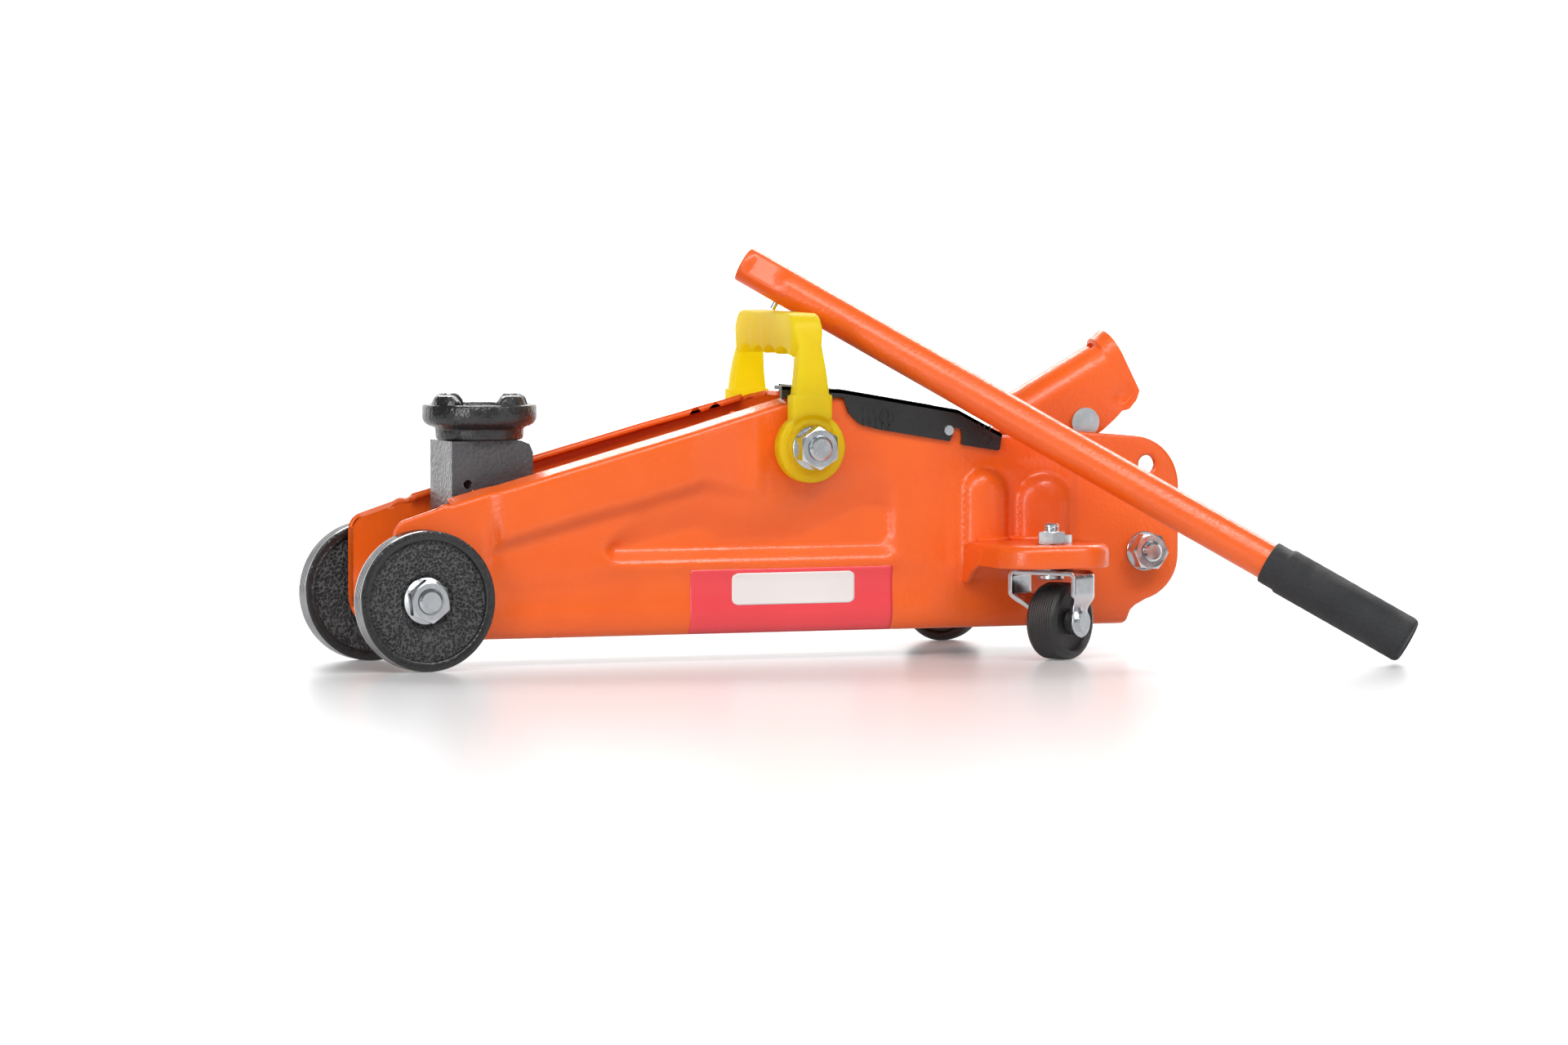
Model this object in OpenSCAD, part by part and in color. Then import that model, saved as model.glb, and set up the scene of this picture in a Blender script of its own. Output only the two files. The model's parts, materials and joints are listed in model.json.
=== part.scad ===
// Hydraulic trolley jack, drawn as its separate pieces.
// X runs from the front axle to the rear, +Z is up, and the left side is -Y.
// Pieces are drawn from the front axle and the floor; the model's origin is
// the middle of the saddle's seat.

/* [Wheels] */
// Outer diameter of the front wheels
wheel_d = 70; // [60:1:80]
// Width of the front wheels
wheel_w = 12.7; // [10:0.1:16]
// Diameter of the front axle
axle_d = 12; // [10:1:14]
// Outer diameter of the caster wheels
caster_d = 39; // [34:1:39]
// Width of the caster wheels
caster_w = 18; // [14:1:20]
// How far the caster wheels trail behind their stems
caster_trail = 8; // [6:1:10]
// Distance of the caster stems from the middle of the jack
caster_y = 82; // [76:1:90]

/* [Side plates] */
// Clear gap between the two side plates
frame_gap = 66; // [64:1:80]
// Thickness of the side plates
plate_t = 3; // [2:0.5:3.5]
// Height of the side plates above the floor
ground_gap = 14; // [10:1:18]
// Width of the flange turned in along the top of each side plate
flange_w = 4; // [2:0.5:4.5]

/* [Lift arm] */
// Distance from the front axle to the main pivot
pivot_x = 204; // [190:1:245]
// Height of the main pivot
pivot_z = 107.4; // [104:0.2:112]
// Diameter of the main pivot bolt
pivot_d = 12; // [10:1:14]
// Distance from the front axle to the middle of the saddle
saddle_x = 44; // [40:1:50]
// Height of the pin that carries the saddle bracket
bracket_pin_z = 66; // [62:1:70]
// Angle that the arm turns from its lowest to its highest position
lift_angle = 75; // [60:1:75]
// Distance from the main pivot to the crank pin
crank_reach = 50; // [46:1:52]
// Thickness of the lift arm's cheeks
cheek_t = 4; // [3:0.5:4]
// Thickness of the level links
level_link_t = 3; // [2:0.5:3]

/* [Saddle] */
// Outer diameter of the saddle cup
saddle_d = 57.4; // [50:0.2:70]
// Height of the saddle seat above the bracket's pin
seat_rise = 58; // [56:1:64]
// Width of the saddle bracket over its cheeks
bracket_w = 33; // [28:1:34]

/* [Hydraulics] */
// Diameter of the ram
ram_d = 22; // [18:1:22]
// Bore of the ram cylinder
cylinder_bore = 26; // [24:1:30]
// Outer diameter of the oil reservoir
reservoir_d = 56; // [50:1:58]
// Diameter of the pump plunger
plunger_d = 9; // [8:0.5:10]
// Diameter of the pump roller
roller_d = 12; // [10:0.5:13]

/* [Handle] */
// Outer diameter of the handle tube
tube_d = 19; // [16:0.5:20]
// Length of the handle bar with its grip
bar_length = 388; // [330:2:420]
// Wall of the handle tube
tube_wall = 1.6; // [1.2:0.1:2.5]
// Length of the rubber grip
grip_length = 81; // [60:1:110]
// Diameter of the rubber grip
grip_d = 24; // [23:0.5:28]
// Radial clearance of the handle tube in its socket
socket_clear = 0.5; // [0.3:0.1:1]
// Wall of the pressed handle socket
socket_wall = 3; // [2:0.5:3.5]
// Width of the carry handle's grip bar
carry_bar = 16; // [12:1:18]

/* [Hidden] */
$fn = 48;

// fits
run = 0.05;        // radial clearance of a pin that turns or slides in its bore
side_gap = 0.3;    // side clearance between pieces that move past each other
part_gap = 0.2;    // gap between pieces that only stand side by side
left = -1;
right = 1;

// side to side, from the middle outwards
plate_in = frame_gap / 2;
plate_out = plate_in + plate_t;
cheek_in = bracket_w / 2 + 2;
cheek_out = cheek_in + cheek_t;
link_in = cheek_out + 1.5;
link_out = link_in + level_link_t;
wheel_in = plate_out + 1.3;
wheel_out = wheel_in + wheel_w;
carry_in = plate_out + 4;
carry_out = carry_in + 8;

// main points, as [x, z]
axle_z = wheel_d / 2;
pivot = [pivot_x, pivot_z];
saddle_pin = [saddle_x, bracket_pin_z];
link_offset = [-14, -28];
link_front = saddle_pin + link_offset;
link_rear = pivot + link_offset;
seat_z = bracket_pin_z + seat_rise;
crank_angle = lift_angle / 2;
crank = pivot + crank_reach * [sin(crank_angle), -cos(crank_angle)];

// ram and crank pin
crank_pin_d = 12;
crank_sag = crank_reach * (1 - cos(crank_angle)) / 2;
ram_z = crank.y - crank_sag;
stroke = 2 * crank_reach * sin(crank_angle);
worst_angle = acos(sin(crank_angle) * 180 / PI / crank_angle);
crank_lead = crank_reach * (sin(worst_angle) - sin(crank_angle) * worst_angle / crank_angle);
slot_w = crank_pin_d + 2 * (crank_lead + 0.25);
slot_h = crank_pin_d + 2 * (crank_sag + 0.5);
yoke_wall = 6;
yoke_half = slot_w / 2 + yoke_wall;
yoke_w = 28;
head_x = crank.x + yoke_half + 1;
head_t = 8;
piston_t = 9;
barrel_x = head_x + head_t;
block_x = barrel_x + stroke + piston_t + 1.2;
cylinder_od = cylinder_bore + 8;
reservoir_wall = 2.5;

// valve block, pump and handle socket
block_len = 30;
block_w = 54;
block_top = ram_z + 25;
block_end = block_x + block_len;
socket_pivot = [block_end + 8.9, pivot_z + 8.9];
roller_drop = 22;
pump_z = socket_pivot.y - roller_drop;
roller_gap = 0.45;
plunger_end = socket_pivot.x - roller_d / 2 - roller_gap;
pump_od = 16;
pump_end = block_end - 8;
ear_in = 6.8;
ear_out = 10;
socket_tilt = 27;
socket_bore = tube_d / 2 + socket_clear;
socket_r = socket_bore + socket_wall;
socket_rise = 17;
socket_pin_d = 8;
socket_front = -27;
socket_rear = 34.5;
socket_ring = 12;
roller_pin_d = 5;

// rear of the frame
rear_bolt_at = [block_end + 32.5, ram_z - 11.3];
rear_bolt_d = 10;
hole_at = rear_bolt_at + [1.6, 44];
hole_d = 9.5;

// rear cover, which wraps over both side plates
cover_t = 1.8;
cover_wrap = plate_out + part_gap;
cover_front = pivot + [-12.9, 24.2];
cover_end = [block_x - 16.7, pivot_z + 4.9];
cover_ridge = [cover_front + [0, 6.6], pivot + [20, 28.4], [cover_end.x - 24.4, cover_end.y + 12.6],
    cover_end];
cover_notch_x = pivot_x + 15;
peg_at = [cover_end.x - 29.3, cover_end.y + 2.2];
peg_d = 5;

// caster wings
wing_x = [block_x - 37.7, block_x + 23.3];
wing_z = 58.5;
wing_t = 3;
wing_lip = 11.7;
stem_x = wing_x[0] + 29.5;
wing_y = caster_y + 18;
wing_corner = 22;
stem_d = 8;
fork_top = wing_z - wing_t - 10;
fork_t = 2.5;
fork_w = 18;
fork_span = 20;
fork_leg_in = caster_w / 2 + 1.6;
caster_axle_d = 6;
caster_trails = [[0.831, 0.555], [0.8, -0.6]];

// carry handle
carry_ring = 17.7;
carry_top = 67;
carry_window = 46;

// handle bar: its two ends rest on the carry handle and on the floor
bar_dir = [0.7325, -0.481, -0.483];
bar_rise = carry_top + 13.06 + tube_d / 2 / norm([bar_dir.x, bar_dir.y]);
bar_top = [pivot_x - 11.5, 18, pivot_z + bar_rise];
bar_turn = [0, acos(bar_dir.z), atan2(bar_dir.y, bar_dir.x)];
locating_pin_d = 3;

// ---- shapes ----

// draws its children, given as [x, z], as a slab from y0 to y1
module slab(y0, y1) {
    translate([0, y1, 0]) rotate([90, 0, 0]) linear_extrude(y1 - y0) children();
}

module rod_y(at, d, y0, y1) {
    slab(y0, y1) translate(at) circle(d = d);
}

module rod_x(y, z, d, x0, x1) {
    translate([x0, y, z]) rotate([0, 90, 0]) cylinder(d = d, h = x1 - x0);
}

// a bar with two round ends of radius ra and rb
module bar2d(a, ra, b, rb) {
    span = b - a;
    lean = atan2(span.y, span.x);
    open = acos((ra - rb) / norm(span));
    translate(a) circle(r = ra);
    translate(b) circle(r = rb);
    polygon([for (s = [a, b]) for (k = s == a ? [1, -1] : [-1, 1])
        s + (s == a ? ra : rb) * [cos(lean + k * open), sin(lean + k * open)]]);
}

function arc(c, r, a0, a1, steps = 8) =
    [for (i = [0:steps]) c + r * [cos(a0 + (a1 - a0) * i / steps), sin(a0 + (a1 - a0) * i / steps)]];

function mirrored(points) = [for (p = points) [p.x, -p.y]];

module on_side(side) {
    if (side == left) mirror([0, 1, 0]) children();
    else children();
}

module both_sides() {
    for (side = [left, right]) on_side(side) children();
}

// a nut on a Y axle, its inner face at y
module nut_y(at, across, y, h, bore) {
    slab(y, y + h) difference() {
        translate(at) circle(d = across / cos(30), $fn = 6);
        translate(at) circle(d = bore);
    }
}

module washer_y(at, d, y, h, bore) {
    slab(y, y + h) difference() {
        translate(at) circle(d = d);
        translate(at) circle(d = bore);
    }
}

// moves the jack so that its origin is the middle of the saddle's seat
module placed() {
    translate([-saddle_x, 0, -seat_z]) children();
}

// ---- side plates ----

nose_at = [-5, axle_z + 31.5];
nose_r = 8.6;
heel_r = 20;
flange_start = [18, axle_z + 47.6];
flange_end = pivot + [-9, 22.6];
tail_top = [hole_at.x - 7.8, hole_at.y - 11];
tail_top_r = 25.8;
tail_low = rear_bolt_at + [-3.8, -2];
tail_low_r = 23.3;

plate_outline = concat(
    arc(nose_at + [0, -32.5] + [heel_r - nose_r, 0], heel_r, 270, 180),
    arc(nose_at, nose_r, 180, 105),
    [[14, flange_start.y - 1.2], flange_start, flange_end, pivot + [6, 25.6], pivot + [20, 24.9]],
    [[cover_end.x - 24, cover_end.y + 9], [cover_end.x - 5, cover_end.y - 1.2]],
    [[socket_pivot.x - 15, socket_pivot.y - 3.4]],
    arc(tail_top, tail_top_r, 86, 0),
    arc(tail_low, tail_low_r, 0, -76),
    [[tail_low.x - 1.4, ground_gap + 8], [tail_low.x - 3.4, ground_gap + 3]],
    [[tail_low.x - 7, ground_gap]]);

module side_plate() {
    difference() {
        union() {
            slab(plate_in, plate_out) polygon(plate_outline);
            // flange turned in along the sloping top
            slab(plate_in - flange_w, plate_in + plate_t / 2)
                polygon([flange_start + [0, -plate_t], flange_start, flange_end,
                    flange_end + [0, -plate_t]]);
            // flange turned in along the bottom
            slab(plate_in - 6, plate_in + plate_t / 2)
                polygon([[heel_r, ground_gap], [wing_x[0] + 43, ground_gap],
                    [wing_x[0] + 43, ground_gap + plate_t], [heel_r, ground_gap + plate_t]]);
        }
        rod_y([0, axle_z], axle_d, plate_in - 1, plate_out + 1);
        rod_y(pivot, pivot_d, plate_in - 1, plate_out + 1);
        rod_y(rear_bolt_at, rear_bolt_d, plate_in - 1, plate_out + 1);
        rod_y(hole_at, hole_d, plate_in - 1, plate_out + 1);
    }
}

module left_side_plate() color("orangered") placed() on_side(left) side_plate();
module right_side_plate() color("orangered") placed() on_side(right) side_plate();

// a printed plate stuck on the left side plate
label_x = [pivot_x - 61, pivot_x + 48];
label_z = [ground_gap + 0.4, ground_gap + 32.6];
label_t = 0.3;

module side_label() color("crimson") placed() on_side(left) slab(plate_out, plate_out + label_t)
    translate([label_x[0], label_z[0]]) square([label_x[1] - label_x[0], label_z[1] - label_z[0]]);

// ---- bolts across the frame ----

axle_nut_af = 19;
axle_nut_in = wheel_out - 4.5;

module front_axle() color("silver") placed()
    rod_y([0, axle_z], axle_d, -wheel_out - 4.5, wheel_out + 4.5);

module axle_spacer() color("silver") placed() slab(-plate_in, plate_in) difference() {
    translate([0, axle_z]) circle(d = axle_d + 6);
    translate([0, axle_z]) circle(d = axle_d);
}

module axle_nuts() color("silver") placed() both_sides() {
    washer_y([0, axle_z], axle_nut_af + 4.4, axle_nut_in, 1.5, axle_d);
    nut_y([0, axle_z], axle_nut_af, axle_nut_in + 1.5, 6, axle_d);
}

module main_pivot_bolt() color("silver") placed()
    rod_y(pivot, pivot_d, -carry_out - 13, carry_out + 13);

module pivot_nuts() color("silver") placed() both_sides() {
    washer_y(pivot, 22, carry_out + part_gap, 1.3, pivot_d);
    nut_y(pivot, 19, carry_out + part_gap + 1.3, 9, pivot_d);
}

module pivot_bushes() color("gray") placed() both_sides()
    washer_y(pivot, pivot_d + 10, cheek_out + side_gap, plate_in - cheek_out - side_gap, pivot_d);

// shouldered studs welded inside the plates for the rear ends of the level links
stud_d = 8;

module link_studs() color("gray") placed() both_sides() {
    rod_y(link_rear, stud_d, link_in - 0.3, plate_in);
    rod_y(link_rear, stud_d + 5, link_in - 1, link_in - 0.3);
    rod_y(link_rear, stud_d + 8, link_out + side_gap, plate_in);
}

module rear_bolt() color("silver") placed()
    rod_y(rear_bolt_at, rear_bolt_d, -plate_out - 13, plate_out + 13);

module rear_nuts() color("silver") placed() both_sides() {
    washer_y(rear_bolt_at, 20, plate_out, 2, rear_bolt_d);
    nut_y(rear_bolt_at, 17, plate_out + 2, 8, rear_bolt_d);
}

module rear_spacer() color("gray") placed() slab(-plate_in, plate_in) difference() {
    translate(rear_bolt_at) circle(d = rear_bolt_d + 8);
    translate(rear_bolt_at) circle(d = rear_bolt_d);
}

// ---- caster wings ----

// plan of a wing, drawn inwards by inset from its edge
module wing_plan(inset) {
    x0 = wing_x[0] + inset;
    x1 = wing_x[1] - inset;
    y1 = wing_y - inset;
    r = wing_corner - inset;
    translate([x0, plate_out]) square([x1 - x0, y1 - r - plate_out]);
    translate([x0 + r, y1 - 2 * r]) square([x1 - x0 - 2 * r, 2 * r]);
    for (x = [x0 + r, x1 - r]) translate([x, y1 - r]) circle(r = r);
}

module caster_wing() {
    difference() {
        union() {
            translate([0, 0, wing_z - wing_lip]) linear_extrude(wing_lip) wing_plan(0);
            // gusset at the front, against the side plate
            translate([wing_x[0], plate_out, wing_z - 21])
                cube([wing_t, wing_y - plate_out - 2 * wing_corner + 6, 21]);
        }
        translate([0, 0, wing_z - wing_lip - 1])
            linear_extrude(wing_lip + 1 - wing_t) difference() {
                wing_plan(wing_t);
                translate([wing_x[0], plate_out - 1]) square([wing_x[1] - wing_x[0], 1 + wing_t]);
            }
        translate([stem_x, caster_y, 0]) cylinder(d = stem_d, h = wing_z + 1);
    }
}

module left_caster_wing() color("orangered") placed() on_side(left) caster_wing();
module right_caster_wing() color("orangered") placed() on_side(right) caster_wing();

stem_head = 2.2;

module caster_stems() color("silver") placed() both_sides() translate([stem_x, caster_y, 0]) {
    translate([0, 0, fork_top - fork_t - stem_head]) cylinder(d = stem_d, h = stem_head + fork_t + 23.5);
    translate([0, 0, fork_top - fork_t - stem_head]) cylinder(d = stem_d + 5, h = stem_head - part_gap);
    // upper race under the wing
    translate([0, 0, fork_top + part_gap]) cylinder(d = 27, h = wing_z - wing_t - fork_top - part_gap);
}

module caster_nuts() color("silver") placed() both_sides()
    translate([stem_x, caster_y, wing_z]) difference() {
        cylinder(d = 13 / cos(30), h = 6.5, $fn = 6);
        translate([0, 0, -1]) cylinder(d = stem_d, h = 9);
    }

// ---- casters ----

function caster_frame(side) = side == left
    ? [caster_trails[0].x, caster_trails[0].y] : [caster_trails[1].x, caster_trails[1].y];

// draws its children with X along the caster's trail and Y along its axle
module at_caster(side) {
    trail = caster_frame(side);
    translate([stem_x, side * caster_y, 0]) rotate([0, 0, atan2(trail.y, trail.x)]) children();
}

caster_r = caster_d / 2;
leg_bend = [caster_r + 12, caster_r + 5];

module fork_leg() {
    outline = [[fork_span - fork_t, fork_top], [fork_span - fork_t, leg_bend[0]],
        [fork_leg_in, leg_bend[1]], [fork_leg_in, caster_r - 8],
        [fork_leg_in + fork_t, caster_r - 8], [fork_leg_in + fork_t, leg_bend[1]],
        [fork_span, leg_bend[0]], [fork_span, fork_top]];
    intersection() {
        // the leg's bent edge, seen along the trail
        translate([-40, 0, 0]) rotate([90, 0, 90]) linear_extrude(80) polygon(outline);
        // its face, narrowing to an eye round the axle
        translate([0, fork_span + 1, 0]) rotate([90, 0, 0]) linear_extrude(fork_span) union() {
            translate([-fork_w / 2, leg_bend[0]]) square([fork_w, fork_top - leg_bend[0]]);
            polygon([[-fork_w / 2, leg_bend[0]], [fork_w / 2, leg_bend[0]],
                [caster_trail + 7.4, caster_r + 3], [caster_trail - 7.4, caster_r + 3]]);
            translate([caster_trail, caster_r]) circle(r = 8);
        }
    }
}

module caster_fork(side) at_caster(side) difference() {
    union() {
        translate([-fork_w / 2, -fork_span, fork_top - fork_t]) cube([fork_w, 2 * fork_span, fork_t]);
        both_sides() fork_leg();
    }
    translate([0, 0, fork_top - fork_t - 1]) cylinder(r = stem_d / 2 + run, h = fork_t + 2);
    translate([caster_trail, fork_span + 1, caster_r]) rotate([90, 0, 0])
        cylinder(d = caster_axle_d, h = 2 * fork_span + 2);
}

module caster_axle(side) at_caster(side) translate([caster_trail, 0, caster_r]) rotate([90, 0, 0]) {
    half = fork_leg_in + fork_t;
    translate([0, 0, -half]) cylinder(d = caster_axle_d, h = 2 * half);
    for (k = [0, 1]) mirror([0, 0, k]) translate([0, 0, half]) cylinder(d = 10, h = 2);
}

module caster_wheel(side) at_caster(side) translate([caster_trail, 0, caster_r]) rotate([90, 0, 0])
    rotate_extrude() polygon([[caster_axle_d / 2 + run, -caster_w / 2 - 1], [5.5, -caster_w / 2 - 1],
        [6.5, -caster_w / 2 + 2], [caster_r - 5, -caster_w / 2 + 2], [caster_r - 4, -caster_w / 2],
        [caster_r - 1.5, -caster_w / 2 + 0.6], [caster_r, -caster_w / 2 + 3],
        [caster_r, caster_w / 2 - 3], [caster_r - 1.5, caster_w / 2 - 0.6],
        [caster_r - 4, caster_w / 2], [caster_r - 5, caster_w / 2 - 2], [6.5, caster_w / 2 - 2],
        [5.5, caster_w / 2 + 1], [caster_axle_d / 2 + run, caster_w / 2 + 1]]);

module left_caster_fork() color("silver") placed() caster_fork(left);
module right_caster_fork() color("silver") placed() caster_fork(right);
module left_caster_axle() color("silver") placed() caster_axle(left);
module right_caster_axle() color("silver") placed() caster_axle(right);
module left_caster_wheel() color("dimgray") placed() caster_wheel(left);
module right_caster_wheel() color("dimgray") placed() caster_wheel(right);

// ---- front wheels ----

lip_w = 4;
hub_recess_r = 13.5;

// half section of a wheel: x is the radius and y runs from its inner face to its outer face
module front_wheel() translate([0, wheel_in, axle_z]) rotate([-90, 0, 0]) rotate_extrude()
    polygon([[axle_d / 2 + run, 0], [hub_recess_r, 0], [hub_recess_r, 2.2], [axle_z - lip_w, 2.2],
        [axle_z - lip_w, 0], [axle_z - 1, 0], [axle_z, 1], [axle_z, wheel_w - 1],
        [axle_z - 1, wheel_w], [axle_z - lip_w, wheel_w], [axle_z - lip_w - 0.6, wheel_w - 1.7],
        [hub_recess_r, wheel_w - 1.7], [hub_recess_r - 0.5, wheel_w - 4.5 - side_gap],
        [axle_d / 2 + run, wheel_w - 4.5 - side_gap]]);

module left_front_wheel() color("dimgray") placed() on_side(left) front_wheel();
module right_front_wheel() color("dimgray") placed() on_side(right) front_wheel();

// ---- rear cover ----

module cover_flap() {
    slab(cover_wrap, cover_wrap + cover_t) difference() {
        polygon(concat(cover_ridge, [cover_end + [-1.3, -8.7], cover_end + [-22.3, -5.2],
            peg_at + [0.6, -5.7], peg_at + [-39.8, 1.3], pivot + [29.5, 10.9], pivot + [23.6, 16.5],
            pivot + [20.6, 26], cover_front]));
        translate(peg_at) circle(d = peg_d + 0.6);
        // slot that lets the flap drop over its peg
        translate([peg_at.x + 0.6, peg_at.y - 12]) square([6.4, 13.3]);
    }
}

module rear_cover() color("black") placed() {
    difference() {
        slab(-cover_wrap - cover_t, cover_wrap + cover_t)
            polygon(concat(cover_ridge, [for (i = [3:-1:0]) cover_ridge[i] + [0, -cover_t - 0.2]]));
        cover_opening();
    }
    on_side(left) cover_flap();
    difference() {
        on_side(right) cover_flap();
        cover_opening();
    }
}

// opening in front for the lift arm, through to the right side
module cover_opening() translate([0, -link_out - 1, 0])
    cube([cover_notch_x, link_out + cover_wrap + cover_t + 2, 2 * pivot_z]);

module cover_pegs() color("silver") placed() both_sides()
    rod_y(peg_at, peg_d, plate_out, cover_wrap + cover_t + 1);

// ---- hydraulic unit ----

module reservoir() color("dimgray") placed() difference() {
    rod_x(0, ram_z, reservoir_d, barrel_x, block_x);
    rod_x(0, ram_z, reservoir_d - 2 * reservoir_wall, barrel_x - 1, block_x + 1);
    translate([barrel_x + 18, 0, ram_z]) cylinder(d = 9, h = reservoir_d);
}

module filler_plug() color("black") placed() translate([barrel_x + 18, 0, ram_z]) {
    translate([0, 0, reservoir_d / 2 - 5]) cylinder(d = 9, h = 5);
    translate([0, 0, reservoir_d / 2]) cylinder(d = 13, h = 2.5);
}

module ram_cylinder() color("gray") placed() difference() {
    rod_x(0, ram_z, cylinder_od, barrel_x, block_x);
    rod_x(0, ram_z, cylinder_bore, barrel_x - 1, block_x + 1);
}

seal_x = head_x + 2.5;
seal_w = 3;
seal_grip = 2.5;

module cylinder_head() color("dimgray") placed() difference() {
    rod_x(0, ram_z, reservoir_d, head_x, barrel_x);
    rod_x(0, ram_z, ram_d + 2 * run, head_x - 1, barrel_x + 1);
    rod_x(0, ram_z, ram_d + 2 * seal_grip, seal_x, seal_x + seal_w);
}

module rod_seal() color("black") placed() difference() {
    rod_x(0, ram_z, ram_d + 2 * seal_grip, seal_x, seal_x + seal_w);
    rod_x(0, ram_z, ram_d + 2 * run, seal_x - 1, seal_x + seal_w + 1);
}

module valve_block() color("dimgray") placed() difference() {
    union() {
        translate([block_x, -block_w / 2, ram_z - 25]) cube([block_len, block_w, 50]);
        // boss that holds the pump cylinder
        translate([block_x, -ear_out, block_top]) cube([pump_end - block_x, 2 * ear_out,
            pump_z + pump_od / 2 + 2 - block_top]);
        // two ears that carry the handle socket
        both_sides() slab(ear_in, ear_out)
            bar2d(socket_pivot, 8.5, [block_x + 16, pump_z + 7.7], 9);
        // lugs for the return springs
        both_sides() translate([block_x - spring_lug, spring_y - 3, spring_z - 5])
            cube([spring_lug + 6, 6, 10]);
    }
    rod_x(0, pump_z, pump_od, block_x - 1, block_end);
    rod_y(socket_pivot, socket_pin_d, -ear_out - 1, ear_out + 1);
    rod_x(0, ram_z, valve_d + 2 * run, block_end - 14, block_end + 1);
}

module pump_cylinder() color("silver") placed() difference() {
    rod_x(0, pump_z, pump_od, block_x, pump_end);
    rod_x(0, pump_z, plunger_d + 2 * run, block_x - 1, pump_end + 1);
}

flange_t = 3;
plunger_back = plunger_end - flange_t;

module pump_plunger() color("silver") placed() {
    rod_x(0, pump_z, plunger_d, pump_end - 14.5, plunger_end);
    rod_x(0, pump_z, 2 * ear_in - 1.2, plunger_back, plunger_end);
}

// a closed helix along +X swept as one tube: turns, coil radius, wire radius, length
module coil(turns, r, wire, length, around = 12, sides = 6) {
    steps = turns * around;
    ring = [for (k = [0:sides - 1]) [cos(k * 360 / sides), sin(k * 360 / sides)]];
    points = [for (i = [0:steps]) for (q = ring)
        let (a = i * 360 / around, reach = r + wire * q.x)
        [length * i / steps + wire * q.y, reach * cos(a), reach * sin(a)]];
    last = steps * sides;
    faces = concat(
        [[for (k = [0:sides - 1]) k]],
        [for (i = [0:steps - 1]) for (k = [0:sides - 1]) let (n = (k + 1) % sides)
            [i * sides + n, i * sides + k, (i + 1) * sides + k, (i + 1) * sides + n]],
        [[for (k = [sides - 1:-1:0]) last + k]]);
    polyhedron(points, faces);
}

spring_wire = 0.55;

module plunger_spring() color("silver") placed()
    translate([pump_end + spring_wire + 0.1, 0, pump_z])
        coil(4, plunger_d / 2 + spring_wire + 0.5, spring_wire,
            plunger_back - pump_end - 2 * spring_wire - 0.2);

// ---- release valve ----

valve_d = 9;
valve_reach = 20;

module release_valve() color("silver") placed() difference() {
    union() {
        rod_x(0, ram_z, valve_d, block_end - 14, block_end + valve_reach - 2);
        rod_x(0, ram_z, 13, block_end + 0.5, block_end + 5);
        translate([block_end + valve_reach - 7, -8, ram_z - 2]) cube([4, 16, 4]);
    }
    translate([block_end + valve_reach - 2.5, -1, ram_z - 5]) cube([3, 2, 10]);
}

// ---- handle socket ----

// draws its children from the socket's pivot, with Y of the outline across the tube
module at_socket() {
    translate([socket_pivot.x, 0, socket_pivot.y]) rotate([0, -socket_tilt, 0]) children();
}

roller_local = [-roller_drop * sin(socket_tilt), -roller_drop * cos(socket_tilt)];
cheek_gap = ear_out + 0.5;

module handle_socket() color("orangered") placed() at_socket() difference() {
    union() {
        rod_x(0, socket_rise, 2 * socket_r, socket_front, socket_rear);
        // cheeks down to the pivot and to the roller
        both_sides() slab(cheek_gap, socket_r) {
            polygon([[socket_front, socket_rise], [socket_front + 3, 5], [-9, -2.5], [0, -9],
                [7, -8.9], [20, -5.4], [25.5, -6.1], [31, -3.8], [socket_rear, 0.2],
                [socket_rear, socket_rise]]);
            circle(r = 9);
            bar2d([0, 0], 9, roller_local, 5);
        }
        // lip that closes the rear end from below
        slab(-socket_r, socket_r)
            polygon([[20, -5.4], [25.5, -6.1], [31, -3.8], [socket_rear, 0.2], [socket_rear, 6],
                [20, 6]]);
    }
    rod_x(0, socket_rise, 2 * socket_bore, socket_ring, socket_rear + 1);
    // wider and open underneath in front of the full ring
    rod_x(0, socket_rise, 2 * cheek_gap, socket_front - 1, socket_ring);
    translate([socket_front - 1, -cheek_gap, socket_rise - 80])
        cube([socket_ring + 1 - socket_front, 2 * cheek_gap, 80]);
    // locating notch in the rear end's top edge
    translate([socket_rear - 11, -2.5, socket_rise]) cube([5.5, 5, 20]);
    rod_y([0, 0], socket_pin_d + 2 * run, -20, 20);
    rod_y(roller_local, roller_pin_d, -20, 20);
}

module socket_pin() color("silver") placed() {
    rod_y(socket_pivot, socket_pin_d, -socket_r - 2.5, socket_r + 2.5);
    both_sides() rod_y(socket_pivot, 15, socket_r + part_gap, socket_r + 2.7);
}

roller_at = socket_pivot - [0, roller_drop];

module pump_roller() color("silver") placed() slab(-6, 6) difference() {
    translate(roller_at) circle(d = roller_d);
    translate(roller_at) circle(d = roller_pin_d + 2 * run);
}

module roller_pin() color("silver") placed()
    rod_y(roller_at, roller_pin_d, -socket_r, socket_r);

// ---- lift arm ----

hub_r = 17.5;
tip_r = 11;
web_from = 0.3;
web_to = 0.86;

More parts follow.
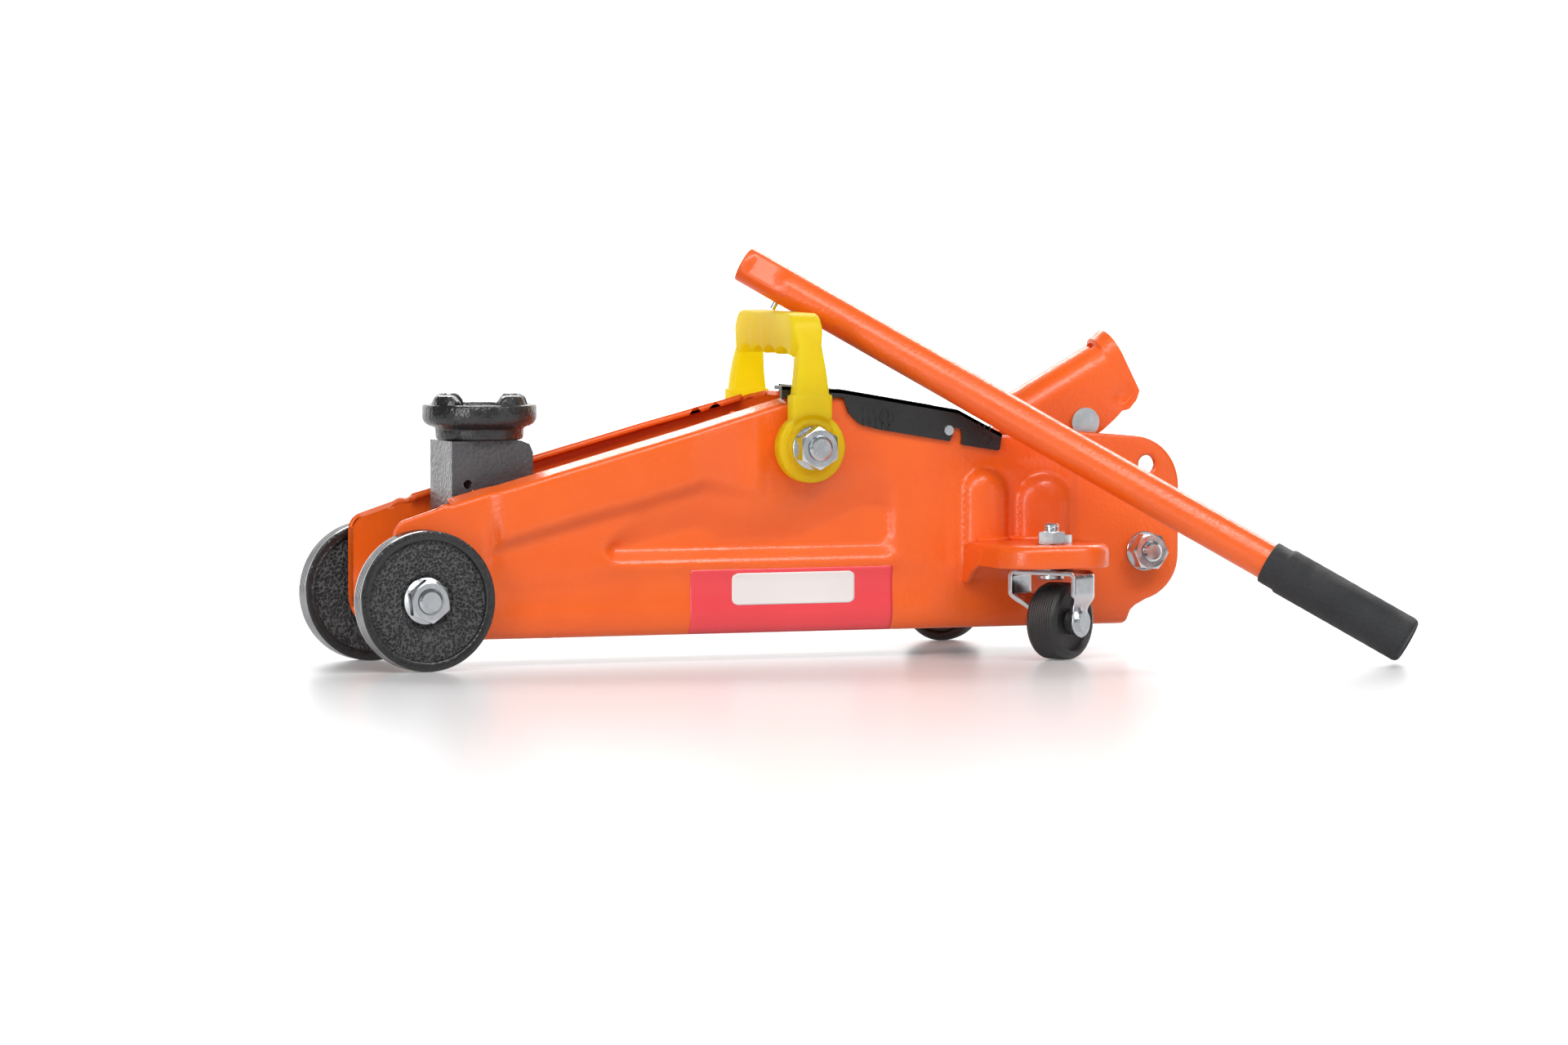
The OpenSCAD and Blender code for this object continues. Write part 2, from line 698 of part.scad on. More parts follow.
module lift_arm() color("orangered") placed() difference() {
    arm = pivot - saddle_pin;
    across = [-arm.y, arm.x] / norm(arm);
    union() {
        both_sides() slab(cheek_in, cheek_out) {
            bar2d(saddle_pin, tip_r, pivot, hub_r);
            bar2d(pivot, hub_r, crank, 10.5);
        }
        slab(-cheek_in - cheek_t / 2, cheek_in + cheek_t / 2) translate(pivot) circle(r = 14);
        // web that joins the cheeks along their upper edges
        slab(-cheek_in - cheek_t / 2, cheek_in + cheek_t / 2)
            polygon([for (k = [[web_from, 1], [web_to, 1], [web_to, 0.62], [web_from, 0.55]])
                saddle_pin + arm * k[0] + across * k[1] * (tip_r + (hub_r - tip_r) * k[0] - 0.6)]);
    }
    rod_y(pivot, pivot_d + 2 * run, -50, 50);
    rod_y(crank, crank_pin_d, -50, 50);
    rod_y(saddle_pin, bracket_pin_d, -50, 50);
}

module crank_pin() color("gray") placed() rod_y(crank, crank_pin_d, -cheek_out - 0.8, cheek_out + 0.8);

bracket_pin_d = 10;

module bracket_pin() color("silver") placed() {
    rod_y(saddle_pin, bracket_pin_d, -cheek_out - 0.8, cheek_out + 0.8);
}

// ---- level links ----

link_r = 7;

module level_link() slab(link_in, link_out) difference() {
    bar2d(link_front, link_r, link_rear, link_r);
    for (p = [link_front, link_rear]) translate(p) circle(r = stud_d / 2 + run);
}

module left_level_link() color("dimgray") placed() on_side(left) level_link();
module right_level_link() color("dimgray") placed() on_side(right) level_link();

// ---- saddle bracket and saddle ----

bracket_t = 3.3;
bracket_front = saddle_x - 20.3;
bracket_rear = saddle_x + 22.5;
bracket_top = seat_z - 12;
bracket_half = bracket_w / 2;
saddle_stem_d = 16;

module saddle_bracket() color("black") placed() difference() {
    union() {
        both_sides() slab(bracket_half - bracket_t, bracket_half) {
            polygon([[bracket_front, bracket_pin_z - 14], [bracket_front, bracket_top],
                [bracket_rear - 6, bracket_top], [bracket_rear - 1.8, bracket_top - 1.8],
                [bracket_rear, bracket_top - 6], [bracket_rear, bracket_pin_z - 8],
                [saddle_x + 14, bracket_pin_z - 14], link_front + [8, -4], link_front + [-8, 4]]);
            translate(link_front) circle(r = 9);
        }
        slab(-bracket_half, bracket_half) translate([bracket_front, bracket_pin_z - 14])
            square([bracket_t, bracket_top - bracket_pin_z + 14]);
        translate([bracket_front, -bracket_half, bracket_top - bracket_t])
            cube([bracket_rear - bracket_front - 6, bracket_w, bracket_t]);
    }
    rod_y(saddle_pin, bracket_pin_d + 2 * run, -30, 30);
    rod_y(link_front, stud_d, -30, 30);
    translate([saddle_x, 0, bracket_top - 20]) cylinder(r = saddle_stem_d / 2 + run, h = 40);
    rod_y([saddle_x - 11.9, bracket_top - 21.4], 4.5, -30, 30);
}

module link_pins() color("silver") placed() both_sides() {
    rod_y(link_front, stud_d, bracket_half - bracket_t, link_out + 1.8);
    rod_y(link_front, stud_d + 4, bracket_half, cheek_in - side_gap);
    rod_y(link_front, stud_d + 5, link_out + side_gap, link_out + 1.8);
}

saddle_r = saddle_d / 2;
seat_r = saddle_r - 6;
lug_h = 11;
lug_angle = 24;

module saddle() color("black") placed() translate([saddle_x, 0, 0]) {
    bottom = bracket_top + part_gap;
    rotate([0, 0, lug_angle]) {
        rotate_extrude() polygon(concat(
            [[0, bracket_top - 12], [saddle_stem_d / 2, bracket_top - 12],
                [saddle_stem_d / 2, bottom], [saddle_r * 0.78, bottom],
                [saddle_r * 0.78, bottom + 2.4], [saddle_r * 0.72, bottom + 2.4]],
            arc([saddle_r - 5, bottom + 9], 5, -60, 0, 4),
            [[saddle_r, seat_z + 3], [saddle_r - 1, seat_z + 3.6], [saddle_r - 3, seat_z + 3.6],
                [seat_r, seat_z], [0, seat_z]]));
        // four lugs round the rim
        for (a = [0:90:270]) rotate([0, 0, a]) intersection() {
            translate([seat_r - 1.5, -6, seat_z - 1]) cube([saddle_r - seat_r + 1.5, 12, lug_h + 1]);
            cylinder(r = saddle_r, h = seat_z + lug_h);
        }
    }
    // clip that keeps the stem in the bracket
    translate([0, 0, bracket_top - bracket_t - 3]) cylinder(d = saddle_stem_d + 5, h = 2.6);
}

// ---- ram ----

module ram() color("silver") placed() difference() {
    union() {
        translate([crank.x - yoke_half, -yoke_w / 2, ram_z - slot_h / 2 - yoke_wall])
            cube([2 * yoke_half, yoke_w, slot_h + 2 * yoke_wall]);
        rod_x(0, ram_z, ram_d, crank.x + yoke_half - 1, block_x - 1);
        rod_x(0, ram_z, cylinder_bore - 2 * run, block_x - 1 - piston_t, block_x - 1);
        translate([crank.x - 5, -yoke_w / 2, spring_z - 5])
            cube([10, yoke_w, ram_z - slot_h / 2 - spring_z]);
    }
    translate([crank.x - slot_w / 2, -yoke_w, ram_z - slot_h / 2]) cube([slot_w, 2 * yoke_w, slot_h]);
    piston_groove();
    rod_y([crank.x, spring_z], spring_bar_d, -30, 30);
}

piston_seal_w = 3;

module piston_groove() difference() {
    rod_x(0, ram_z, cylinder_bore + 1, block_x - 6.5, block_x - 6.5 + piston_seal_w);
    rod_x(0, ram_z, cylinder_bore - 5, block_x - 7, block_x - 6 + piston_seal_w);
}

module piston_seal() color("black") placed() difference() {
    rod_x(0, ram_z, cylinder_bore - 2 * run, block_x - 6.5, block_x - 6.5 + piston_seal_w);
    rod_x(0, ram_z, cylinder_bore - 5, block_x - 7, block_x - 6 + piston_seal_w);
}

// return springs, hooked between the ram's cross bar and the valve block's lugs
spring_bar_d = 5;
spring_z = 36;
spring_y = 23;
spring_d = 9;
spring_lug = 6;
return_wire = 0.9;

module spring_bar() color("silver") placed()
    rod_y([crank.x, spring_z], spring_bar_d, -spring_y - 5, spring_y + 5);

module return_springs() color("silver") placed() both_sides()
    translate([crank.x + spring_bar_d / 2 + return_wire + 0.2, spring_y, spring_z])
        coil(18, spring_d / 2 - return_wire, return_wire,
            block_x - spring_lug - crank.x - spring_bar_d / 2 - 2 * return_wire - 0.4);

// ---- carry handle ----

leg_low = [-11.5, 11.5];
leg_high = [-6.5, 6.5];

module carry_handle() color("gold") placed() difference() {
    union() {
        both_sides() {
            slab(cover_wrap + cover_t + 0.4, carry_out) translate(pivot) circle(r = carry_ring - 1.5);
            slab(carry_in, carry_out) translate(pivot) {
                circle(r = carry_ring);
                polygon([[leg_low[0], 10], [leg_low[1], 10], [leg_low[1], 26], [leg_high[1] + 2, 38],
                    [leg_high[1] + 0.5, carry_top - 4], [leg_high[0] - 2, carry_top - 4],
                    [leg_high[0] - 2.5, 38], [leg_low[0], 26]]);
            }
        }
        // grip bar across the top, seen from the side
        slab(-carry_out, carry_out) translate(pivot) {
            translate([-8.5, carry_window]) square([carry_bar - 0.5, carry_top - carry_window - 4]);
            translate([-4.5, carry_window]) square([carry_bar - 8.5, carry_top - carry_window]);
            for (x = [-4.5, carry_bar - 13]) translate([x, carry_top - 4]) circle(r = 4);
        }
    }
    // finger hollows under the grip bar
    for (i = [-1:1]) translate([pivot_x, i * 18, pivot_z + carry_window - 6]) rotate([0, 90, 0])
        cylinder(r = 9, h = 40, center = true);
    rod_y(pivot, pivot_d + 2 * run, -60, 60);
}

// ---- handle bar ----

module at_bar() {
    translate(bar_top) rotate(bar_turn) children();
}

module handle_tube() color("orangered") placed() at_bar() difference() {
    cylinder(d = tube_d, h = bar_length - 6);
    translate([0, 0, -1]) cylinder(d = tube_d - 2 * tube_wall, h = bar_length);
    translate([0, 0, 24]) rotate(pin_turn) cylinder(d = locating_pin_d, h = tube_d);
}

pin_turn = [0, 90, 0];
pin_proud = 3.6;

module locating_pin() color("silver") placed() at_bar() translate([0, 0, 24]) rotate(pin_turn)
    translate([0, 0, tube_d / 2 - tube_wall - 1]) cylinder(d = locating_pin_d, h = tube_wall + 1 + pin_proud);

module handle_grip() color("black") placed() at_bar() difference() {
    start = bar_length - grip_length;
    union() {
        translate([0, 0, start]) cylinder(d = grip_d - 2, h = 9);
        translate([0, 0, start + 9]) cylinder(d = grip_d, h = grip_length - 10);
        translate([0, 0, bar_length - 1]) cylinder(d = grip_d - 2, h = 1);
    }
    translate([0, 0, start - 1]) cylinder(d = tube_d, h = grip_length - 5);
}

left_side_plate();
right_side_plate();
front_axle();
axle_spacer();
axle_nuts();
main_pivot_bolt();
pivot_nuts();
pivot_bushes();
link_studs();
rear_bolt();
rear_nuts();
rear_spacer();
left_caster_wing();
right_caster_wing();
caster_stems();
caster_nuts();
rear_cover();
cover_pegs();
side_label();
valve_block();
reservoir();
ram_cylinder();
cylinder_head();
rod_seal();
pump_cylinder();
filler_plug();
socket_pin();
lift_arm();
crank_pin();
bracket_pin();
left_level_link();
right_level_link();
saddle_bracket();
link_pins();
saddle();
ram();
piston_seal();
spring_bar();
return_springs();
pump_plunger();
plunger_spring();
handle_socket();
pump_roller();
roller_pin();
release_valve();
left_front_wheel();
right_front_wheel();
left_caster_fork();
right_caster_fork();
left_caster_axle();
right_caster_axle();
left_caster_wheel();
right_caster_wheel();
carry_handle();
handle_tube();
locating_pin();
handle_grip();
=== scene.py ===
import json
import math
import bpy
import bmesh
import numpy as np
from mathutils import Matrix, Vector
from mathutils.geometry import delaunay_2d_cdt


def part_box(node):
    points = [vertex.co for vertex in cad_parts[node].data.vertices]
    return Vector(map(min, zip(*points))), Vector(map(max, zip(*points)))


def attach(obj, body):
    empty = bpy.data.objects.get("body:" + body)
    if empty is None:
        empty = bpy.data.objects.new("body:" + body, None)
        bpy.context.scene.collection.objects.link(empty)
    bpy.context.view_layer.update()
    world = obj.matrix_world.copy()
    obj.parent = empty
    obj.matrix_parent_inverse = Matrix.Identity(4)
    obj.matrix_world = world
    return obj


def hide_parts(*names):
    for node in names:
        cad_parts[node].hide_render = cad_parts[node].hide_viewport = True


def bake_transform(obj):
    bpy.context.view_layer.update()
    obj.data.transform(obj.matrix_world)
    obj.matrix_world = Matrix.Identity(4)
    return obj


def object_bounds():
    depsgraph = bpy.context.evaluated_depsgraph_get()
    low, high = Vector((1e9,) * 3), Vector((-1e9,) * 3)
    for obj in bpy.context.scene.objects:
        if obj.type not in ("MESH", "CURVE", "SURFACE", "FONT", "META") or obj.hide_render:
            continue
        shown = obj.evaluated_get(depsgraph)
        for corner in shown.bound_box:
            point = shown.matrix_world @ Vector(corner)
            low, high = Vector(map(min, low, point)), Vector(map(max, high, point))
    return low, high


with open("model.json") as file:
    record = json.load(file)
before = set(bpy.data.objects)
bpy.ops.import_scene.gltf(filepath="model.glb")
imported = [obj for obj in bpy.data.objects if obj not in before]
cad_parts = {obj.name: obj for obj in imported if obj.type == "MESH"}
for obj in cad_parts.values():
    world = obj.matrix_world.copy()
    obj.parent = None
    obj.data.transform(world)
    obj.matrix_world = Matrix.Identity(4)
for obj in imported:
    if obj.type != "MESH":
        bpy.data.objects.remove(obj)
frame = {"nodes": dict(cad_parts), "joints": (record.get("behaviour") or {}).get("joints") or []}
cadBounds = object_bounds()
scene = bpy.context.scene

mm = 0.001
left = -1
right = 1
sides = {left: "left", right: "right"}
joints = {joint["name"]: joint for joint in frame["joints"]}
floorZ = cadBounds[0].z
axleX = Vector(joints["left_wheel_spin"]["pos_m"]).x


# a place in millimetres from the front axle and the floor, as metres in the frame
def jack(x, y, z):
    return Vector((axleX + x * mm, y * mm, floorZ + z * mm))


# the same the other way round
def inJack(place):
    return Vector(((place.x - axleX) / mm, place.y / mm, (place.z - floorZ) / mm))


def jointAt(name):
    return inJack(Vector(joints[name]["pos_m"]))


def nodeBox(name):
    low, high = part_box(name)
    return inJack(low), inJack(high)


plateIn = nodeBox("axle_spacer")[1].y
plateOut = nodeBox("right_side_plate")[1].y
plateThick = plateOut - plateIn
pivot = jointAt("lift")
socketPivot = jointAt("handle_pump")
stemAt = jointAt("right_caster_swivel")
rearBolt = sum(nodeBox("rear_bolt"), Vector()) / 2
wingLow, wingHigh = nodeBox("right_caster_wing")
print("frame loaded:", len(frame["nodes"]), "nodes")


# camera and light

cameraLook = {
    "place": (-1420.0, -4188.2, 312.2),
    "ahead": (0.3616, 0.9307, -0.0544),
    "right": (0.9321, -0.3621, 0.0),
    "lens": 204.0,
    "sensor": 36.0,
}


def addCamera():
    data = bpy.data.cameras.new("camera")
    data.sensor_width = cameraLook["sensor"]
    data.lens = cameraLook["lens"]
    data.clip_end = 100.0
    camera = bpy.data.objects.new("camera", data)
    back = -Vector(cameraLook["ahead"]).normalized()
    across = Vector(cameraLook["right"]).normalized()
    up = back.cross(across).normalized()
    across = up.cross(back)
    turn = Matrix((across, up, back)).transposed().to_4x4()
    camera.matrix_world = Matrix.Translation(jack(*cameraLook["place"])) @ turn
    scene.collection.objects.link(camera)
    scene.camera = camera


softboxes = [
    {"name": "overhead", "at": (-0.55, -1.3, 1.15), "size": (1.3, 0.6), "watts": 14.0},
    {"name": "overRight", "at": (0.7, -1.15, 1.3), "size": (1.1, 0.5), "watts": 15.0},
    {"name": "frontLeft", "at": (-2.2, -1.6, 0.5), "size": (0.7, 1.2), "watts": 20.0},
    {"name": "frontRight", "at": (1.6, -2.2, 0.5), "size": (0.5, 1.1), "watts": 3.0},
    {"name": "rim", "at": (0.7, 1.3, 1.3), "size": (2.2, 0.5), "watts": 30.0},
]


def addLights():
    for box in softboxes:
        data = bpy.data.lights.new(box["name"], "AREA")
        data.shape = "RECTANGLE"
        data.size, data.size_y = box["size"]
        data.energy = box["watts"]
        light = bpy.data.objects.new(box["name"], data)
        light.location = box["at"]
        aim = Vector((0.16, 0.0, -0.05)) - light.location
        light.rotation_euler = aim.to_track_quat("-Z", "Y").to_euler()
        scene.collection.objects.link(light)
    world = bpy.data.worlds.new("studio")
    world.use_nodes = True
    world.node_tree.nodes["Background"].inputs["Color"].default_value = (1.0, 1.0, 1.0, 1.0)
    world.node_tree.nodes["Background"].inputs["Strength"].default_value = 0.12
    scene.world = world
    scene.view_settings.view_transform = "Standard"


# shader node groups

class Tree:
    # short ways to add and join shader nodes
    def __init__(self, tree):
        self.tree = tree

    def add(self, kind, settings=None, **inputs):
        node = self.tree.nodes.new(kind)
        for key, value in (settings or {}).items():
            setattr(node, key, value)
        for key, value in inputs.items():
            socket = node.inputs[key.replace("_", " ")] if not key.startswith("n") \
                else node.inputs[int(key[1:])]
            if isinstance(value, bpy.types.NodeSocket):
                self.tree.links.new(value, socket)
            else:
                socket.default_value = value
        return node

    def math(self, operation, a, b=0.0, clamp=False):
        node = self.add("ShaderNodeMath", {"operation": operation, "use_clamp": clamp}, n0=a, n1=b)
        return node.outputs[0]

    def noise(self, scale, detail=2.0, coordinate=None, rough=0.5):
        node = self.add("ShaderNodeTexNoise", None, Scale=scale, Detail=detail, Roughness=rough)
        if coordinate is not None:
            self.tree.links.new(coordinate, node.inputs["Vector"])
        return node.outputs["Fac"]

    def ramp(self, value, low, high, first=0.0, last=1.0):
        node = self.add("ShaderNodeMapRange", {"interpolation_type": "SMOOTHSTEP"}, Value=value,
            From_Min=low, From_Max=high, To_Min=first, To_Max=last)
        return node.outputs["Result"]

    def mix(self, amount, a, b):
        node = self.add("ShaderNodeMix", {"data_type": "RGBA"}, n0=amount, n6=a, n7=b)
        return node.outputs[2]

    def coordinates(self):
        return self.add("ShaderNodeTexCoord").outputs["Object"]


def makeGroup(name, inputs, outputs, build):
    group = bpy.data.node_groups.new(name, "ShaderNodeTree")
    for label, value in inputs.items():
        socket = group.interface.new_socket(label, in_out="INPUT", socket_type="NodeSocketFloat")
        socket.default_value = value
    for label in outputs:
        group.interface.new_socket(label, in_out="OUTPUT", socket_type="NodeSocketFloat")
    tree = Tree(group)
    start = group.nodes.new("NodeGroupInput")
    end = group.nodes.new("NodeGroupOutput")
    for label, value in build(tree, start.outputs).items():
        group.links.new(value, end.inputs[label])
    return group


# small round dimples of sprayed paint over slow waves in the sheet
def buildOrangePeel(tree, given):
    place = tree.coordinates()
    dimples = tree.noise(given["Dimple Scale"], 1.5, place)
    waves = tree.noise(given["Wave Scale"], 1.0, place)
    height = tree.math("ADD", tree.math("MULTIPLY", dimples, given["Dimples"]),
        tree.math("MULTIPLY", waves, given["Waves"]))
    return {"Height": height}


# where edges have lost their paint or plating
def buildEdgeWear(tree, given):
    worn = tree.add("ShaderNodeBevel", {"samples": 4}, Radius=given["Width"]).outputs[0]
    flat = tree.add("ShaderNodeNewGeometry").outputs["Normal"]
    turned = tree.add("ShaderNodeVectorMath", {"operation": "DOT_PRODUCT"}, n0=worn, n1=flat)
    edge = tree.ramp(turned.outputs["Value"], 0.96, 0.8)
    patches = tree.ramp(tree.noise(given["Patch Scale"], 4.0, tree.coordinates()), 0.5, 0.68)
    return {"Mask": tree.math("MULTIPLY", tree.math("MULTIPLY", edge, patches), given["Amount"])}


# dust that settles where a surface looks up
def buildDust(tree, given):
    normal = tree.add("ShaderNodeNewGeometry").outputs["Normal"]
    up = tree.add("ShaderNodeSeparateXYZ", None, n0=normal).outputs[2]
    facing = tree.ramp(up, 0.2, 1.0)
    patches = tree.ramp(tree.noise(given["Patch Scale"], 5.0, tree.coordinates(), 0.6), 0.4, 0.7)
    return {"Mask": tree.math("MULTIPLY", tree.math("MULTIPLY", facing, patches), given["Amount"])}


# crusted grain of a casting or a crackle paint
def buildGrain(tree, given):
    place = tree.coordinates()
    cells = tree.add("ShaderNodeTexVoronoi", {"feature": "SMOOTH_F1"}, Vector=place,
        Scale=given["Scale"], Smoothness=0.4).outputs["Distance"]
    fine = tree.noise(given["Fine Scale"], 3.0, place)
    height = tree.math("ADD", cells, tree.math("MULTIPLY", fine, 0.6))
    return {"Height": height}


orangePeel = makeGroup("orangePeel", {"Dimple Scale": 700.0, "Wave Scale": 60.0, "Dimples": 0.5,
    "Waves": 1.0}, ["Height"], buildOrangePeel)
edgeWear = makeGroup("edgeWear", {"Width": 0.0006, "Patch Scale": 120.0, "Amount": 0.5}, ["Mask"],
    buildEdgeWear)
dust = makeGroup("dust", {"Patch Scale": 45.0, "Amount": 0.2}, ["Mask"], buildDust)
grain = makeGroup("grain", {"Scale": 900.0, "Fine Scale": 2200.0}, ["Height"], buildGrain)


def useGroup(tree, group, **values):
    node = tree.add("ShaderNodeGroup")
    node.node_tree = group
    for label, value in values.items():
        node.inputs[label.replace("_", " ")].default_value = value
    return node.outputs[0]


# materials

def newMaterial(name, **fixed):
    material = bpy.data.materials.new(name)
    material.use_nodes = True
    shader = material.node_tree.nodes["Principled BSDF"]
    for label, value in fixed.items():
        shader.inputs[label.replace("_", " ")].default_value = value
    material.diffuse_color = (0.5, 0.5, 0.5, 1.0)
    return material, Tree(material.node_tree), shader


def bumpInto(tree, shader, height, distance, strength=1.0):
    bump = tree.add("ShaderNodeBump", None, Height=height, Distance=distance, Strength=strength)
    tree.tree.links.new(bump.outputs[0], shader.inputs["Normal"])
    tree.tree.links.new(bump.outputs[0], shader.inputs["Coat Normal"])


# the wear mask, or plain nothing where a finish is unworn
def wornEdges(tree, amount, width, scale):
    if amount == 0:
        return 0.0
    return useGroup(tree, edgeWear, Width=width, Amount=amount, Patch_Scale=scale)


def link(tree, value, shader, socket):
    tree.tree.links.new(value, shader.inputs[socket])


def gray(value):
    return (value, value, value, 1.0)


def paintMaterial(name, look):
    material, tree, shader = newMaterial(name, Metallic=0.0, Coat_Weight=look["coat"],
        Coat_Roughness=look["coatRoughness"], IOR=1.5)
    place = tree.coordinates()
    cloud = tree.ramp(tree.noise(22.0, 3.0, place), 0.3, 0.7)
    colour = tree.mix(cloud, look["colour"], look["deeper"])
    worn = wornEdges(tree, look["wear"], look["wearWidth"], 150.0)
    dusty = useGroup(tree, dust, Amount=look["dust"])
    colour = tree.mix(dusty, colour, look["dustColour"])
    colour = tree.mix(worn, colour, look["under"])
    link(tree, colour, shader, "Base Color")
    smudge = tree.ramp(tree.noise(35.0, 4.0, place), 0.35, 0.75, look["roughness"] * 0.8,
        look["roughness"] * 1.25)
    link(tree, tree.math("ADD", smudge, tree.math("MULTIPLY", worn, 0.15)), shader, "Roughness")
    height = useGroup(tree, orangePeel, Dimple_Scale=look["dimpleScale"], Dimples=look["dimples"],
        Waves=look["waves"])
    bumpInto(tree, shader, height, look["bump"])
    return material


def metalMaterial(name, look):
    material, tree, shader = newMaterial(name, Metallic=1.0)
    place = tree.coordinates()
    cloud = tree.ramp(tree.noise(look["cloudScale"], 4.0, place), 0.3, 0.75)
    colour = tree.mix(cloud, look["colour"], look["deeper"])
    worn = wornEdges(tree, look["wear"], 0.0004, 300.0)
    colour = tree.mix(worn, colour, look["bright"])
    link(tree, colour, shader, "Base Color")
    rough = tree.ramp(tree.noise(look["cloudScale"] * 2.5, 5.0, place), 0.25, 0.8,
        look["roughness"] * 0.7, look["roughness"] * 1.4)
    link(tree, rough, shader, "Roughness")
    bumpInto(tree, shader, useGroup(tree, grain, Scale=look["grainScale"]), look["bump"])
    return material


def grainedMaterial(name, look):
    material, tree, shader = newMaterial(name, Metallic=0.0, IOR=1.48, Coat_Weight=look["coat"],
        Coat_Roughness=0.25)
    place = tree.coordinates()
    cloud = tree.ramp(tree.noise(30.0, 4.0, place), 0.35, 0.7)
    colour = tree.mix(cloud, look["colour"], look["deeper"])
    height = useGroup(tree, grain, Scale=look["grainScale"], Fine_Scale=look["grainScale"] * 2.4)
    # the grain's peaks are painted a lighter grey: painted glints of light on the crackle finish
    if look["specks"]:
        specks = tree.math("MULTIPLY", tree.ramp(height, 0.72, 0.95), look["specks"])
        colour = tree.mix(specks, colour, gray(0.13))
    worn = wornEdges(tree, look["wear"], 0.0007, 110.0)
    colour = tree.mix(worn, colour, look["under"])
    colour = tree.mix(useGroup(tree, dust, Amount=look["dust"]), colour, (0.42, 0.38, 0.33, 1.0))
    link(tree, colour, shader, "Base Color")
    rough = tree.ramp(tree.noise(60.0, 5.0, place), 0.3, 0.75, look["roughness"] * 0.85,
        look["roughness"] * 1.15)
    link(tree, rough, shader, "Roughness")
    bumpInto(tree, shader, height, look["bump"])
    return material


def translucentMaterial(name, look):
    material, tree, shader = newMaterial(name, Metallic=0.0, IOR=1.49, Transmission_Weight=0.08,
        Subsurface_Weight=0.7, Subsurface_Scale=0.01, Coat_Weight=0.05, Coat_Roughness=0.3)
    shader.inputs["Subsurface Radius"].default_value = (1.0, 0.75, 0.08)
    place = tree.coordinates()
    cloud = tree.ramp(tree.noise(28.0, 3.0, place), 0.3, 0.7)
    link(tree, tree.mix(cloud, look["colour"], look["deeper"]), shader, "Base Color")
    rough = tree.ramp(tree.noise(50.0, 3.0, place), 0.3, 0.7, look["roughness"] * 0.8,
        look["roughness"] * 1.2)
    link(tree, rough, shader, "Roughness")
    bumpInto(tree, shader, useGroup(tree, orangePeel, Dimple_Scale=400.0, Wave_Scale=45.0),
        look["bump"])
    through = tree.add("ShaderNodeBsdfTranslucent")
    through.inputs["Color"].default_value = look["through"]
    blend = tree.add("ShaderNodeMixShader")
    blend.inputs[0].default_value = look["throughShare"]
    tree.tree.links.new(shader.outputs[0], blend.inputs[1])
    tree.tree.links.new(through.outputs[0], blend.inputs[2])
    tree.tree.links.new(blend.outputs[0], material.node_tree.nodes["Material Output"].inputs[0])
    return material


orangeLook = {"colour": (0.90, 0.128, 0.006, 1.0), "deeper": (0.86, 0.115, 0.006, 1.0),
    "under": (0.45, 0.09, 0.02, 1.0), "dustColour": (0.80, 0.35, 0.2, 1.0), "roughness": 0.42,
    "coat": 0.4, "coatRoughness": 0.16, "wear": 0.0, "wearWidth": 0.0006, "dust": 0.03,
    "dimpleScale": 560.0, "dimples": 0.8, "waves": 0.1, "bump": 0.0002}
blackLook = {"colour": (0.012, 0.012, 0.013, 1.0), "deeper": (0.02, 0.02, 0.021, 1.0),
    "under": (0.16, 0.16, 0.165, 1.0), "dustColour": (0.2, 0.19, 0.18, 1.0), "roughness": 0.36,
    "coat": 0.45, "coatRoughness": 0.14, "wear": 0.35, "wearWidth": 0.0007, "dust": 0.06,
    "dimpleScale": 520.0, "dimples": 0.8, "waves": 0.7, "bump": 0.0006}
tankLook = dict(blackLook, colour=(0.035, 0.036, 0.04, 1.0), deeper=(0.05, 0.05, 0.055, 1.0),
    coat=0.2, roughness=0.45)
labelLook = dict(orangeLook, colour=(0.86, 0.06, 0.075, 1.0), deeper=(0.82, 0.055, 0.07, 1.0),
    under=(0.6, 0.1, 0.1, 1.0), coat=0.3, dimples=0.15, waves=0.4, wear=0.0, bump=0.0003)
panelLook = dict(labelLook, colour=(0.84, 0.80, 0.78, 1.0), deeper=(0.81, 0.77, 0.75, 1.0))
zincLook = {"colour": (0.74, 0.77, 0.80, 1.0), "deeper": (0.69, 0.72, 0.75, 1.0),
    "bright": (0.9, 0.91, 0.92, 1.0), "cloudScale": 90.0, "roughness": 0.22, "wear": 0.0,
    "grainScale": 2600.0, "bump": 0.000004}
steelLook = dict(zincLook, colour=(0.42, 0.42, 0.43, 1.0), deeper=(0.30, 0.295, 0.29, 1.0),
    roughness=0.34)
wireLook = dict(steelLook, colour=(0.28, 0.28, 0.285, 1.0), deeper=(0.2, 0.19, 0.185, 1.0))
# the wheel iron carries painted glints, lighter grey specks on the peaks of its grain
ironLook = {"colour": (0.013, 0.013, 0.014, 1.0), "deeper": (0.024, 0.024, 0.025, 1.0),
    "under": (0.1, 0.1, 0.1, 1.0), "roughness": 0.38, "coat": 0.4, "wear": 0.4, "dust": 0.03,
    "grainScale": 760.0, "bump": 0.0015, "specks": 0.6}
treadLook = dict(zincLook, colour=(0.34, 0.345, 0.36, 1.0), deeper=(0.22, 0.22, 0.23, 1.0),
    roughness=0.18)
nylonLook = dict(ironLook, specks=0.0, colour=(0.016, 0.016, 0.017, 1.0), roughness=0.42, coat=0.15,
    grainScale=1500.0, bump=0.00015, wear=0.25)
coverLook = dict(ironLook, specks=0.0,
    colour=(0.009, 0.009, 0.010, 1.0), deeper=(0.014, 0.014, 0.015, 1.0),
    roughness=0.33, coat=0.3, grainScale=1300.0, bump=0.00012, wear=0.3, dust=0.08)
rubberLook = dict(ironLook, specks=0.0,
    colour=(0.022, 0.023, 0.026, 1.0), deeper=(0.032, 0.033, 0.036, 1.0),
    roughness=0.7, coat=0.0, grainScale=1400.0, bump=0.00035, wear=0.2, dust=0.12)
